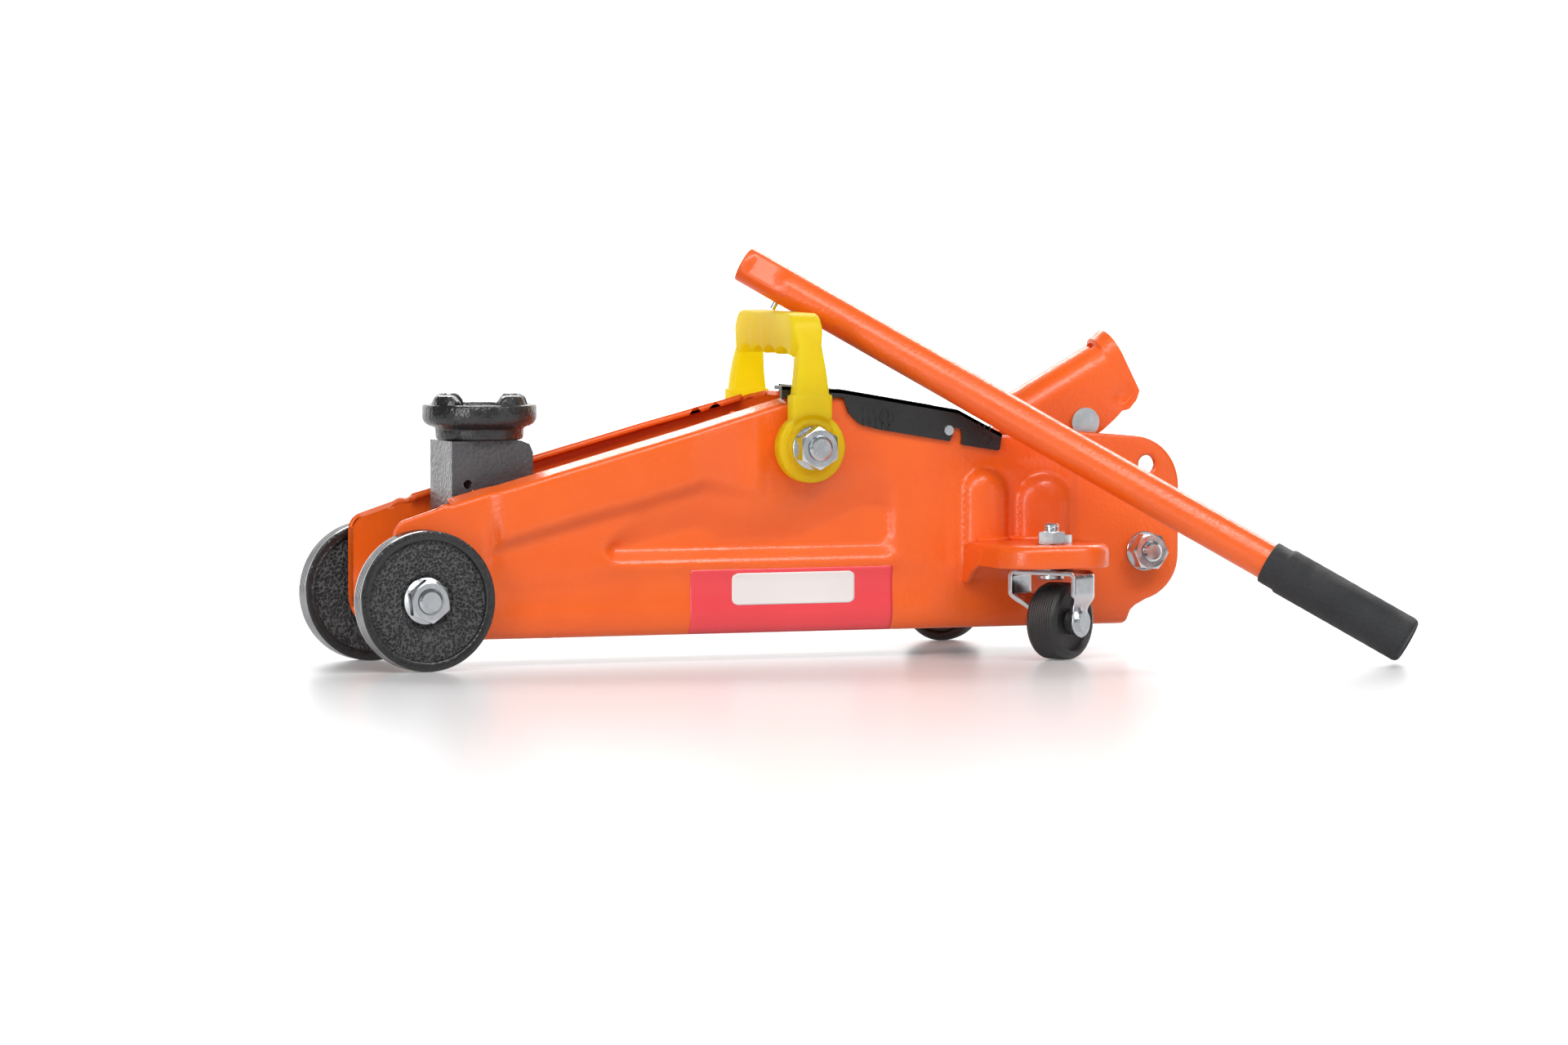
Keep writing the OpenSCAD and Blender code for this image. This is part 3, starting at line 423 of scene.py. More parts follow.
yellowLook = {"colour": (0.96, 0.78, 0.012, 1.0), "deeper": (0.95, 0.73, 0.010, 1.0),
    "roughness": 0.45, "bump": 0.00006,
    "through": (1.0, 0.92, 0.04, 1.0), "throughShare": 0.5}

orangePaint = paintMaterial("orangePaint", orangeLook)
blackPaint = paintMaterial("blackPaint", blackLook)
# the bracket's black paint made a lighter dark grey: part its own satin tone, part painted sheen
# standing in for reflections on its glossy faces
bracketPaintAndSheen = paintMaterial("bracketPaintAndSheen", dict(blackLook, colour=(0.06, 0.058, 0.063, 1.0),
    deeper=(0.085, 0.082, 0.088, 1.0), roughness=0.3))
tankPaint = paintMaterial("tankPaint", tankLook)
labelFilm = paintMaterial("labelFilm", labelLook)
labelPanel = paintMaterial("labelPanel", panelLook)
zinc = metalMaterial("zinc", zincLook)
bareSteel = metalMaterial("bareSteel", steelLook)
springWire = metalMaterial("springWire", wireLook)
wheelIron = grainedMaterial("wheelIron", ironLook)
wheelTread = metalMaterial("wheelTread", treadLook)
casterNylon = grainedMaterial("casterNylon", nylonLook)
coverPlastic = grainedMaterial("coverPlastic", coverLook)
gripRubber = grainedMaterial("gripRubber", rubberLook)
yellowPlastic = translucentMaterial("yellowPlastic", yellowLook)
slotMaterials = {"orange_paint": orangePaint, "black_paint": blackPaint, "wheel_iron": wheelIron,
    "caster_nylon": casterNylon, "zinc": zinc, "bare_steel": bareSteel, "spring_steel": springWire,
    "cover_plastic": coverPlastic, "yellow_plastic": yellowPlastic, "label_film": labelFilm,
    "tank_paint": tankPaint, "rubber": gripRubber}
print("materials made:", len(slotMaterials))


# mesh helpers

# rounds the corners of an outline whose points may carry a radius, as (x, y, radius)
def soft(points, closed=True, steps=4):
    out = []
    last = len(points) - 1
    for i, point in enumerate(points):
        here = Vector(point[:2])
        radius = point[2] if len(point) > 2 else 0.0
        if radius == 0.0 or (not closed and i in (0, last)):
            out.append((here.x, here.y))
            continue
        back = Vector(points[i - 1][:2]) - here
        ahead = Vector(points[(i + 1) % len(points)][:2]) - here
        half = back.angle(ahead) / 2
        cut = min(radius / math.tan(half), 0.48 * back.length, 0.48 * ahead.length)
        start = here + back.normalized() * cut
        end = here + ahead.normalized() * cut
        for k in range(steps + 1):
            t = k / steps
            bend = start.lerp(here, t).lerp(here.lerp(end, t), t)
            out.append((bend.x, bend.y))
    return out


def arcPoints(centre, radius, first, last, steps=10):
    return [(centre[0] + radius * math.cos(math.radians(first + (last - first) * i / steps)),
        centre[1] + radius * math.sin(math.radians(first + (last - first) * i / steps)))
        for i in range(steps + 1)]


# spins a closed profile of (radius, height) round Z
def turned(profile, steps=96):
    verts = []
    for i in range(steps):
        angle = 2 * math.pi * i / steps
        verts += [(r * math.cos(angle), r * math.sin(angle), h) for r, h in profile]
    return verts, turnedFaces(steps, len(profile))


# a hexagon nut with chamfered corners, standing on Z = 0
def hexNut(across, height, bore, steps=96):
    flat = across / 2
    chamfer = 0.42
    verts = []
    for i in range(steps):
        angle = 360 * i / steps
        reach = flat / math.cos(math.radians((angle + 30) % 60 - 30))
        cut = max(0.0, reach - flat * 0.97) * chamfer
        rows = [(bore / 2, 0.5), (bore / 2 + 0.5, 0.0), (flat * 0.97, 0.0), (reach, cut),
            (reach, height - cut), (flat * 0.97, height), (bore / 2 + 0.7, height),
            (bore / 2, height - 0.7)]
        turn = math.radians(angle)
        verts += [(r * math.cos(turn), r * math.sin(turn), h) for r, h in rows]
    return verts, turnedFaces(steps, 8)


# a plain outline made solid between two heights
def extruded(outline, low, high):
    count = len(outline)
    verts = [(x, y, low) for x, y in outline] + [(x, y, high) for x, y in outline]
    faces = [tuple(range(count - 1, -1, -1)), tuple(range(count, 2 * count))]
    faces += [(i, (i + 1) % count, count + (i + 1) % count, count + i) for i in range(count)]
    return verts, faces


# quads between rows of points, each row a closed loop of the same count
def bands(rows, count):
    return [(i * count + k, i * count + (k + 1) % count, (i + 1) * count + (k + 1) % count,
        (i + 1) * count + k) for i in range(rows - 1) for k in range(count)]


# the same for rows that are open lines
def strips(rows, count):
    return [(i * count + k, i * count + k + 1, (i + 1) * count + k + 1, (i + 1) * count + k)
        for i in range(rows - 1) for k in range(count - 1)]


# quads round an axis, for the same profile at every step
def turnedFaces(steps, count):
    faces = []
    for i in range(steps):
        j = (i + 1) % steps
        for k in range(count):
            n = (k + 1) % count
            faces.append((i * count + k, j * count + k, j * count + n, i * count + n))
    return faces


# sweeps a round or shaped section along a path of points
def swept(path, section):
    path = [Vector(p) for p in path]
    count = len(section)
    verts = []
    normal = None
    for i, point in enumerate(path):
        along = (path[min(i + 1, len(path) - 1)] - path[max(i - 1, 0)]).normalized()
        if normal is None:
            normal = along.orthogonal().normalized()
        normal = (normal - along * normal.dot(along)).normalized()
        side = along.cross(normal)
        verts += [tuple(point + normal * u + side * v) for u, v in section]
    last = (len(path) - 1) * count
    faces = bands(len(path), count)
    faces += [tuple(range(count - 1, -1, -1)), tuple(last + k for k in range(count))]
    return verts, faces


def circlePoints(radius, steps=12):
    return [(radius * math.cos(2 * math.pi * k / steps), radius * math.sin(2 * math.pi * k / steps))
        for k in range(steps)]


def joined(*parts):
    verts, faces = [], []
    for partVerts, partFaces in parts:
        base = len(verts)
        verts += list(partVerts)
        faces += [tuple(base + i for i in face) for face in partFaces]
    return verts, faces


def moved(part, matrix):
    return [tuple(matrix @ Vector(v)) for v in part[0]], part[1]


# puts a part drawn round Z at a place in the jack, with Z turned to a direction
def standing(part, at, direction, turn=0.0):
    look = Vector(direction).to_track_quat("Z", "Y").to_matrix().to_4x4()
    spin = Matrix.Rotation(math.radians(turn), 4, "Z")
    return moved(part, Matrix.Translation(Vector(at)) @ look @ spin)


# makes an object from a part in millimetres and lets it ride on a body
def addPiece(name, part, body, slotName, material=None, stands=(), sharp=34.0, bevel=0.0,
        segments=2, more=()):
    mesh = bpy.data.meshes.new(name)
    mesh.from_pydata([jack(*v) for v in part[0]], [], part[1])
    work = bmesh.new()
    work.from_mesh(mesh)
    bmesh.ops.remove_doubles(work, verts=work.verts, dist=0.004 * mm)
    bmesh.ops.recalc_face_normals(work, faces=work.faces)
    work.to_mesh(mesh)
    work.free()
    mesh.materials.append(material or slotMaterials[slotName])
    for extra in more:
        mesh.materials.append(extra)
    piece = bpy.data.objects.new(name, mesh)
    scene.collection.objects.link(piece)
    mesh.shade_smooth()
    mesh.set_sharp_from_angle(angle=math.radians(sharp))
    if bevel:
        soften(piece, bevel, segments)
    if body:
        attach(piece, body)
    if stands:
        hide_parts(*stands)
    return piece


# rounds the sharp edges of a piece
def soften(piece, width, segments=2, angle=40.0):
    edge = piece.modifiers.new("softEdges", "BEVEL")
    edge.width = width * mm
    edge.segments = segments
    edge.limit_method = "ANGLE"
    edge.angle_limit = math.radians(angle)
    edge.harden_normals = False


# gives a surface its thickness, inward of its normals unless told otherwise
def thicken(piece, thick, offset=-1.0):
    sheet = piece.modifiers.new("sheet", "SOLIDIFY")
    sheet.thickness = thick * mm
    sheet.offset = offset


addCamera()
addLights()


# floor and sweep

# a white floor that glows a little, as paper lit from all round does
def addStage():
    material, tree, shader = newMaterial("floorWhite", Roughness=0.28, IOR=1.45)
    cloud = tree.noise(3.0, 2.0, tree.coordinates())
    link(tree, tree.mix(cloud, gray(0.58), gray(0.62)), shader, "Base Color")
    shader.inputs["Emission Color"].default_value = (1.0, 1.0, 1.0, 1.0)
    shader.inputs["Emission Strength"].default_value = 0.14
    half = 4.0
    mesh = bpy.data.meshes.new("floor")
    mesh.from_pydata([(-half, -6, 0), (half, -6, 0), (half, half, 0), (-half, half, 0)], [],
        [(0, 1, 2, 3)])
    mesh.materials.append(material)
    floor = bpy.data.objects.new("floor", mesh)
    floor.location.z = floorZ
    glow, tree, shader = newMaterial("sweepWhite", Roughness=1.0)
    shader.inputs["Emission Color"].default_value = (1.0, 1.0, 1.0, 1.0)
    shader.inputs["Emission Strength"].default_value = 1.3
    # clear from behind, so the jack can be seen from there
    behind = tree.add("ShaderNodeNewGeometry").outputs["Backfacing"]
    clear = tree.add("ShaderNodeBsdfTransparent")
    blend = tree.add("ShaderNodeMixShader", None, n0=behind, n1=shader.outputs[0],
        n2=clear.outputs[0])
    tree.tree.links.new(blend.outputs[0], glow.node_tree.nodes["Material Output"].inputs[0])
    mesh = bpy.data.meshes.new("sweep")
    mesh.from_pydata([(-3.5, 0, -1.0), (4.5, 0, -1.0), (4.5, 0, 2.2), (-3.5, 0, 2.2)], [],
        [(0, 1, 2, 3)])
    mesh.materials.append(glow)
    sweep = bpy.data.objects.new("sweep", mesh)
    sweep.location = (0.0, 2.6, floorZ)
    sweep.rotation_euler = (0.0, 0.0, math.radians(-21))
    for thing in (floor, sweep):
        scene.collection.objects.link(thing)


addStage()
print("stage set")


# side plates

plateLook = {
    "step": 2.1,          # spacing of the mesh inside the outline
    "bulge": 5.0,         # how far the upper field stands out
    "recess": 4.8,        # depth of the long pointed panel
    "pocket": 7.5,        # how far the two pump pockets stand out
    "topBend": 3.2,       # radius of the fold along the top
    "fold": 74.0,         # angle of that fold
    "flange": 7.0,        # flat width of the flange behind that fold
    "bottomRoll": 13.0,   # height of the rolled bottom edge
    "rim": 2.4,           # rounding of the other edges
}
groundGap = nodeBox("right_side_plate")[0].z
tailTop = (rearBolt.x - 6.2, rearBolt.z + 33)
tailLow = (rearBolt.x - 3.8, rearBolt.z - 2)
holeAt = (rearBolt.x + 1.6, rearBolt.z + 44)
flangeStart = Vector((18.0, 82.6))
flangeEnd = Vector((pivot.x - 9, pivot.z + 22.6))
plateOutline = (
    arcPoints((6.4, 34), 20, 270, 180)
    + arcPoints((-5, 66.5), 8.6, 180, 110, 6)
    + [(9.5, 80.2), (13.4, 82.4), tuple(flangeStart), tuple(flangeEnd)]
    + [(pivot.x + 6, pivot.z + 25.6), (pivot.x + 20, pivot.z + 24.9)]
    + [(pivot.x + 83, pivot.z + 13.6), (pivot.x + 102, pivot.z + 3.6)]
    + [(socketPivot.x - 15, socketPivot.z - 3.4)]
    + arcPoints(tailTop, 25.8, 86, 0, 14)
    + arcPoints(tailLow, 23.3, 0, -76, 14)
    + soft([(tailLow[0] - 0.4, groundGap + 9.5), (tailLow[0] - 3.0, groundGap + 7, 2),
        (tailLow[0] - 4.6, groundGap, 3), (tailLow[0] - 12, groundGap)], closed=False))
bulgeField = [(39, 60), (92, 74), (114, 79), (150, 88.5), (175, 83.5), (181, 82.5), (181, 150),
    (39, 150)]
recessRim = [(96, 58.5), (101, 66), (114, 77.5), (150, 86), (163, 82.5), (175, 80.5), (192, 79.5),
    (206, 86), (225, 96), (238, 97.5), (250, 93.5), (256, 86), (256.5, 54), (252, 48), (101, 48)]
recessFloor = [(103, 57.6), (144, 67), (152, 66.4), (160, 62), (202, 61.6), (213, 66.3),
    (228, 72.8), (240, 76.4), (248, 77), (250, 74), (250, 62), (246, 57.3)]
pockets = [{"x": 301.5, "half": 12.8, "top": 95.5}, {"x": 333.5, "half": 15.2, "top": 92.0}]


# a closed outline with points no further apart than the step
def resampled(outline, step):
    ring = []
    for a, b in zip(outline, outline[1:] + outline[:1]):
        steps = max(1, round(math.dist(a, b) / step))
        ring += [(a[0] + (b[0] - a[0]) * i / steps, a[1] + (b[1] - a[1]) * i / steps)
            for i in range(steps)]
    return ring


# signed distance to a closed outline, positive inside
def insideBy(points, outline):
    points = np.asarray(points, float)
    start = np.asarray(outline, float)
    end = np.roll(start, -1, axis=0)
    away = np.full(len(points), 1e9)
    inside = np.zeros(len(points), bool)
    for a, b in zip(start, end):
        edge = b - a
        reach = points - a
        share = np.clip((reach @ edge) / max(edge @ edge, 1e-12), 0, 1)
        away = np.minimum(away, np.hypot(*(reach - share[:, None] * edge).T))
        crosses = (a[1] > points[:, 1]) != (b[1] > points[:, 1])
        if edge[1] != 0:
            inside ^= crosses & (points[:, 0] < a[0] + (points[:, 1] - a[1]) * edge[0] / edge[1])
    return np.where(inside, away, -away)


def smoothStep(value, low, high):
    t = np.clip((value - low) / (high - low), 0, 1)
    return t * t * (3 - 2 * t)


# how far the pressed plate stands out from its flat face at (x, z)
def pressedHeight(points):
    points = np.asarray(points, float)
    x, z = points.T
    look = plateLook
    out = look["bulge"] * smoothStep(insideBy(points, bulgeField), -4.5, 5.0)
    out *= 1 - 0.62 * smoothStep(x, 140, 172)
    rim = insideBy(points, recessRim)
    floor = insideBy(points, recessFloor)
    within = np.clip(rim, 0, None)
    share = np.where(floor > 0, 1.0, within / (within - np.minimum(floor, 0) + 1e-6))
    out -= look["recess"] * share ** 2 * (2 - share)
    for pocket in pockets:
        across = (x - pocket["x"]) / pocket["half"]
        above = np.clip((z - (pocket["top"] - pocket["half"])) / pocket["half"], 0, None)
        reach = np.clip(1 - across ** 2 - above ** 2, 0, 1)
        below = smoothStep(z, 36, 50)
        out += look["pocket"] * np.sqrt(reach) * smoothStep(reach, 0, 0.35) * below
    # raised field round the pockets
    field = [(283, 44), (283, 98), (352, 98), (352, 44)]
    out += 0.9 * smoothStep(insideBy(points, field), -2.5, 3.5)
    # a scoop behind the front wheel and a ridge under the long panel
    out -= 2.6 * np.exp(-((x - 39) / 3.4) ** 2 - ((z - 63) / 9.0) ** 2)
    ridge = np.exp(-((z - 50.5) / 4.0) ** 2)
    out += 1.3 * ridge * smoothStep(x, 88, 104) * smoothStep(-x, -262, -250)
    # soft crease from the front wheel to the long panel, and a low bead above the bottom edge
    bead = [(42, 28), (42, 40), (96, 44), (270, 44), (270, 28)]
    out -= 0.8 * smoothStep(insideBy(points, bead), -4, 5)
    roll = np.clip((groundGap + look["bottomRoll"] - z) / look["bottomRoll"], 0, 1)
    out -= 0.42 * look["bottomRoll"] * (1 - np.sqrt(1 - 0.999 * roll ** 2))
    return out


# the folded top runs along the sloping line from flangeStart to flangeEnd
foldAlong = (flangeEnd - flangeStart).normalized()
foldUp = Vector((-foldAlong.y, foldAlong.x))
foldLength = (flangeEnd - flangeStart).length


# the plate's edge before folding, its hole, and the points of the mesh between them
def platePoints():
    look = plateLook
    tab = look["topBend"] * (math.radians(look["fold"]) - 1) + look["flange"]
    unrolled = []
    for point in plateOutline:
        here = Vector(point)
        if here == flangeEnd:
            unrolled.append(tuple(here + foldUp * tab))
        unrolled.append(tuple(here))
        if here == flangeStart:
            unrolled.append(tuple(here + foldUp * tab))
    ring = resampled(unrolled, look["step"])
    hole = [(holeAt[0] + u, holeAt[1] + v) for u, v in circlePoints(4.75, 28)]
    outline = np.array(ring)
    low, high = outline.min(0), outline.max(0)
    step = look["step"]
    grid = np.array([(x + (row % 2) * step / 2, z)
        for row, z in enumerate(np.arange(low[1], high[1], step * 0.87))
        for x in np.arange(low[0], high[0], step)])
    past, along = foldPlace(grid)
    near = (past > -1.0) & (along > -9) & (along < foldLength + 9)
    away = insideBy(grid, ring)
    fromHole = np.hypot(grid[:, 0] - holeAt[0], grid[:, 1] - holeAt[1]) - 4.75
    fromCrease = np.abs(insideBy(grid, recessFloor))
    grid = grid[(away > look["rim"] + 0.5) & (fromHole > 1.4) & (fromCrease > 0.8) & ~near]
    rows = []
    foldWide = look["topBend"] * math.radians(look["fold"]) + look["flange"]
    for distance in np.arange(0.0, foldWide, 0.8):
        for run in np.arange(-8.0, foldLength + 8.0, step):
            place = flangeStart + foldAlong * run + foldUp * (distance - look["topBend"])
            rows.append(tuple(place))
    rows = np.array(rows)
    rows = rows[insideBy(rows, ring) > 0.4]
    normals = np.roll(outline, -1, 0) - np.roll(outline, 1, 0)
    normals = np.stack([normals[:, 1], -normals[:, 0]], 1)
    normals /= np.linalg.norm(normals, axis=1)[:, None]
    rings = []
    for inset in (0.35, 0.9, 1.7):
        offset = outline + normals * inset
        past, along = foldPlace(offset)
        clear = (past < 0) | (along < -9) | (along > foldLength + 9)
        rings.append(offset[(insideBy(offset, ring) > inset * 0.8) & clear])
    return ring, hole, np.vstack(rings + [grid, rows])


# how far points lie past the start of the bend, and along it
def foldPlace(points):
    reach = np.asarray(points) - np.array(flangeStart)
    return reach @ np.array(foldUp) + plateLook["topBend"], reach @ np.array(foldAlong)


# the pressed and folded outer face of the right-hand plate
def makePlateMesh():
    look = plateLook
    ring, hole, inner = platePoints()
    corners = [Vector(p) for p in ring + hole + [tuple(p) for p in inner]]
    edges = [(i, (i + 1) % len(ring)) for i in range(len(ring))]
    base = len(ring)
    edges += [(base + i, base + (i + 1) % len(hole)) for i in range(len(hole))]
    base = len(corners)
    crease = resampled(recessFloor, look["step"])
    corners += [Vector(p) for p in crease]
    edges += [(base + i, base + (i + 1) % len(crease)) for i in range(len(crease))]
    verts, _, triangles, *_ = delaunay_2d_cdt(corners, edges, [], 0, 1e-5)
    flat = np.array([tuple(v) for v in verts])
    triangles = np.array([t for t in triangles if len(t) == 3])
    middle = flat[triangles].mean(1)
    triangles = triangles[(insideBy(middle, ring) > 0) & (insideBy(middle, hole) < 0)]
    past, along = foldPlace(flat)
    share = np.where(past > 0, smoothStep(along, -7, 0) * smoothStep(-along, -foldLength - 7,
        -foldLength), 0.0)
    radius = look["topBend"]
    full = math.radians(look["fold"])
    angle = np.clip(past / radius, 0, full)
    beyond = np.clip(past - radius * full, 0, None)
    upward = np.array(foldUp)
    atLine = flat - np.clip(past, 0, None)[:, None] * upward
    rise = radius * np.sin(angle) + beyond * math.cos(full)
    folded = atLine + rise[:, None] * upward
    inward = radius * (1 - np.cos(angle)) + beyond * math.sin(full)
    base2d = atLine * share[:, None] + flat * (1 - share[:, None])
    height = pressedHeight(base2d)
    away = np.clip(insideBy(flat, ring), 0, None)
    edge = np.clip(1 - away / look["rim"], 0, 1)
    rolled = 0.55 * look["rim"] * (1 - np.sqrt(1 - 0.998 * edge ** 2)) * (1 - share)
    placed = folded * share[:, None] + flat * (1 - share[:, None])
    y = plateOut + height - inward * share - rolled
    return np.column_stack([placed[:, 0], y, placed[:, 1]]), triangles


plateVerts, plateTriangles = makePlateMesh()
print("plate mesh:", len(plateVerts), "points")


def addSidePlate(side):
    name = sides[side] + "SidePlate"
    verts = [(x, side * y, z) for x, y, z in plateVerts]
    faces = [tuple(t) if side == right else tuple(t[::-1]) for t in plateTriangles]
    plate = addPiece(name, (verts, faces), "frame", "orange_paint",
        stands=[sides[side] + "_side_plate"], sharp=50.0)
    thicken(plate, plateThick)


for side in sides:
    addSidePlate(side)
print("side plates pressed")


# label

labelBox = nodeBox("side_label")
panelAt = (165.4, 231.5, 28.5, 44.5)


# a grid that lies on the pressed plate, lifted a little off it
def onPlate(x0, x1, z0, z1, lift, side, corner=0.0):
    columns, rows = 56, 18
    xs = np.linspace(x0, x1, columns)
    zs = np.linspace(z0, z1, rows)
    points = []
    for z in zs:
        near = min(z - z0, z1 - z)
        pull = 0.0
        if near < corner:
            pull = corner - math.sqrt(max(0.0, corner ** 2 - (corner - near) ** 2))
        points += [(x0 + pull + (x - x0) * (x1 - x0 - 2 * pull) / (x1 - x0), z) for x in xs]
    height = plateOut + pressedHeight(points) + lift
    verts = [(x, side * y, z) for (x, z), y in zip(points, height)]
    return verts, strips(rows, columns)


def addFilm(name, grid, material):
    film = addPiece(name, grid, "frame", "label_film", material, stands=["side_label"])
    thicken(film, 0.12, 0.0)


addFilm("sideLabel", onPlate(labelBox[0].x, labelBox[1].x, labelBox[0].z, labelBox[1].z, 0.14,
    left), labelFilm)
addFilm("labelPanel", onPlate(*panelAt, 0.26, left, 3.0), labelPanel)


# bolts and nuts

# a bar across the jack with rolled threads from threadFrom outwards
def stud(radius, half, threadFrom, pitch=1.5, depth=0.42):
    side = [(radius, threadFrom)]
    at = threadFrom + 0.3
    while at < half - 1.6:
        side += [(radius - depth, at), (radius - depth, at + pitch * 0.15),
            (radius, at + pitch * 0.45), (radius, at + pitch * 0.6)]
        at += pitch
    side += [(radius, half - 1.2), (radius - 1.1, half), (0.0, half)]
    return [(r, -h) for r, h in reversed(side)] + side


def washerProfile(inner, outer, low, thick):
    return [(inner, low), (outer - 0.2, low), (outer, low + 0.3), (outer, low + thick - 0.3),
        (outer - 0.3, low + thick), (inner, low + thick)]


# a skirt that flares from a flange nut's hexagon
def flangeProfile(inner, outer, low, thick, across):
    return [(inner, low), (outer - 0.3, low), (outer, low + 0.4), (outer - 0.2, low + 0.8),
        (across / 2 + 0.2, low + thick + 0.5), (inner, low + thick + 0.5)]


def aroundY(part, x, z, side, turn=0.0):
    return standing(part, (x, 0, z), (0, side, 0), turn)


def nutPair(x, z, low, thick, flange, nutLow, across, height, bore, turns, flared=False):
    parts = []
    for side, turn in zip(sides, turns):
        rim = flangeProfile(bore, flange, low, thick, across) if flared \
            else washerProfile(bore, flange, low, thick)
        nut = moved(hexNut(across, height, 2 * bore), Matrix.Translation((0, 0, nutLow)))
        parts += [aroundY(turned(rim), x, z, side), aroundY(nut, x, z, side, turn)]
    return joined(*parts)


axleAt = jointAt("left_wheel_spin")
axleHalf = nodeBox("front_axle")[1].y
nutHigh = nodeBox("axle_nuts")[1].y
addPiece("frontAxle", aroundY(turned(stud(6.0, axleHalf, axleHalf - 6)), axleAt.x, axleAt.z, right),
    "frame", "zinc", stands=["front_axle"], sharp=40)
addPiece("axleNuts", nutPair(axleAt.x, axleAt.z, nutHigh - 7.5, 1.4, 11.7, nutHigh - 6.1, 19.0, 6.1,
    6.02, (8, 20), True), "frame", "zinc", stands=["axle_nuts"], sharp=16)
boltHalf = nodeBox("main_pivot_bolt")[1].y
nutHigh = nodeBox("pivot_nuts")[1].y
addPiece("mainPivotBolt", aroundY(turned(stud(6.0, boltHalf, nutHigh - 2)), pivot.x, pivot.z,
    right), "frame", "zinc", stands=["main_pivot_bolt"], sharp=40)
addPiece("pivotNuts", nutPair(pivot.x, pivot.z, nutHigh - 10.3, 1.3, 11.0, nutHigh - 9.0, 19.0, 9.0,
    6.02, (2, 13)), "frame", "zinc", stands=["pivot_nuts"], sharp=16)
rearHalf = nodeBox("rear_bolt")[1].y
nutHigh = nodeBox("rear_nuts")[1].y
addPiece("rearBolt", aroundY(turned(stud(5.0, rearHalf, nutHigh - 2, 1.25, 0.35)), rearBolt.x,
    rearBolt.z, right), "frame", "zinc", stands=["rear_bolt"], sharp=40)
addPiece("rearNuts", nutPair(rearBolt.x, rearBolt.z, plateOut, 2.0, 10.0, plateOut + 2.0, 17.0, 8.0,
    5.02, (25, 5)), "frame", "zinc", stands=["rear_nuts"], sharp=16)
print("bolts done")


# front wheels

wheelLook = {"grooves": 5, "grooveDepth": 0.22, "lip": 4.6, "face": 2.3, "hub": 13.5, "well": 4.8}


def wheelProfile(radius, bore, low, high):
    look = wheelLook
    lip = radius - look["lip"]
    hub = look["hub"]
    width = high - low
    tread = []
    for k in range(look["grooves"]):
        at = low + 2.2 + (width - 4.4) * (k + 0.5) / look["grooves"]
        tread += [(radius, at - 0.5), (radius - look["grooveDepth"], at - 0.25),
            (radius - look["grooveDepth"], at + 0.25), (radius, at + 0.5)]
    outer = [(radius, high - 1.1), (radius - 0.3, high - 0.35), (radius - 1.1, high),
        (lip + 0.5, high), (lip, high - 0.35), (lip - 0.5, high - look["face"] + 0.2),
        (lip - 1.2, high - look["face"]), (hub + 1.3, high - look["face"]),
        (hub + 0.4, high - look["face"] - 0.4), (hub - 0.3, high - look["well"] + 0.5),
        (hub - 1.0, high - look["well"]), (bore, high - look["well"])]
    inner = [(bore, low), (hub, low), (hub + 0.4, low + 2.2), (lip - 0.6, low + 2.2),
        (lip, low + 0.4), (lip + 0.6, low), (radius - 1.1, low), (radius - 0.3, low + 0.35),
        (radius, low + 1.1)]
    return inner + tread + outer


def addFrontWheel(side):
    name = sides[side] + "_front_wheel"
    low, high = nodeBox(name)
    reach = sorted((abs(low.y), abs(high.y)))
    radius = (high.z - low.z) / 2
    profile = wheelProfile(radius, 6.05, *reach)
    wheel = addPiece(sides[side] + "FrontWheel", aroundY(turned(profile, 128), axleAt.x, axleAt.z,
        side), name, "wheel_iron", stands=[name], sharp=38, more=[wheelTread, blackPaint])
    for face in wheel.data.polygons:
        place = inJack(face.center)
        reached = math.hypot(place.x - axleAt.x, place.z - axleAt.z)
        if reached > radius - 0.4:
            face.material_index = 1
        elif reached > radius - wheelLook["lip"] - 0.6:
            face.material_index = 2


for side in sides:
    addFrontWheel(side)


# carry handle

carryLook = {"ring": 17.7, "window": 46.0, "top": 67.0, "corner": 10.0, "scallop": 3.6,
    "fingers": 4, "legLow": 11.0, "legHigh": 6.2, "gripFront": -8.4, "gripBack": 7.0}
carryIn, carryOut = 40.0, 48.0


# rounded rectangle between an outer and an inner point, as wide as given along X
def strapSection(outer, inner, front, back, roll=1.7, steps=3):
    outer, inner = Vector(outer), Vector(inner)
    across = inner - outer
    thick = across.length
    roll = min(roll, thick * 0.45, (back - front) * 0.45)
    across.normalize()
    section = []
    corners = [(front, 0, 180, 270), (back, 0, 270, 360), (back, thick, 0, 90),
        (front, thick, 90, 180)]
    for x, t, first, last in corners:
        cx = x + (roll if x == front else -roll)
        ct = t + (roll if t == 0 else -roll)
        for a in np.linspace(first, last, steps + 1):
            u = cx + roll * math.cos(math.radians(a))
            v = ct + roll * math.sin(math.radians(a))
            point = outer + across * v
            section.append((u, point.x, point.y))
    return section


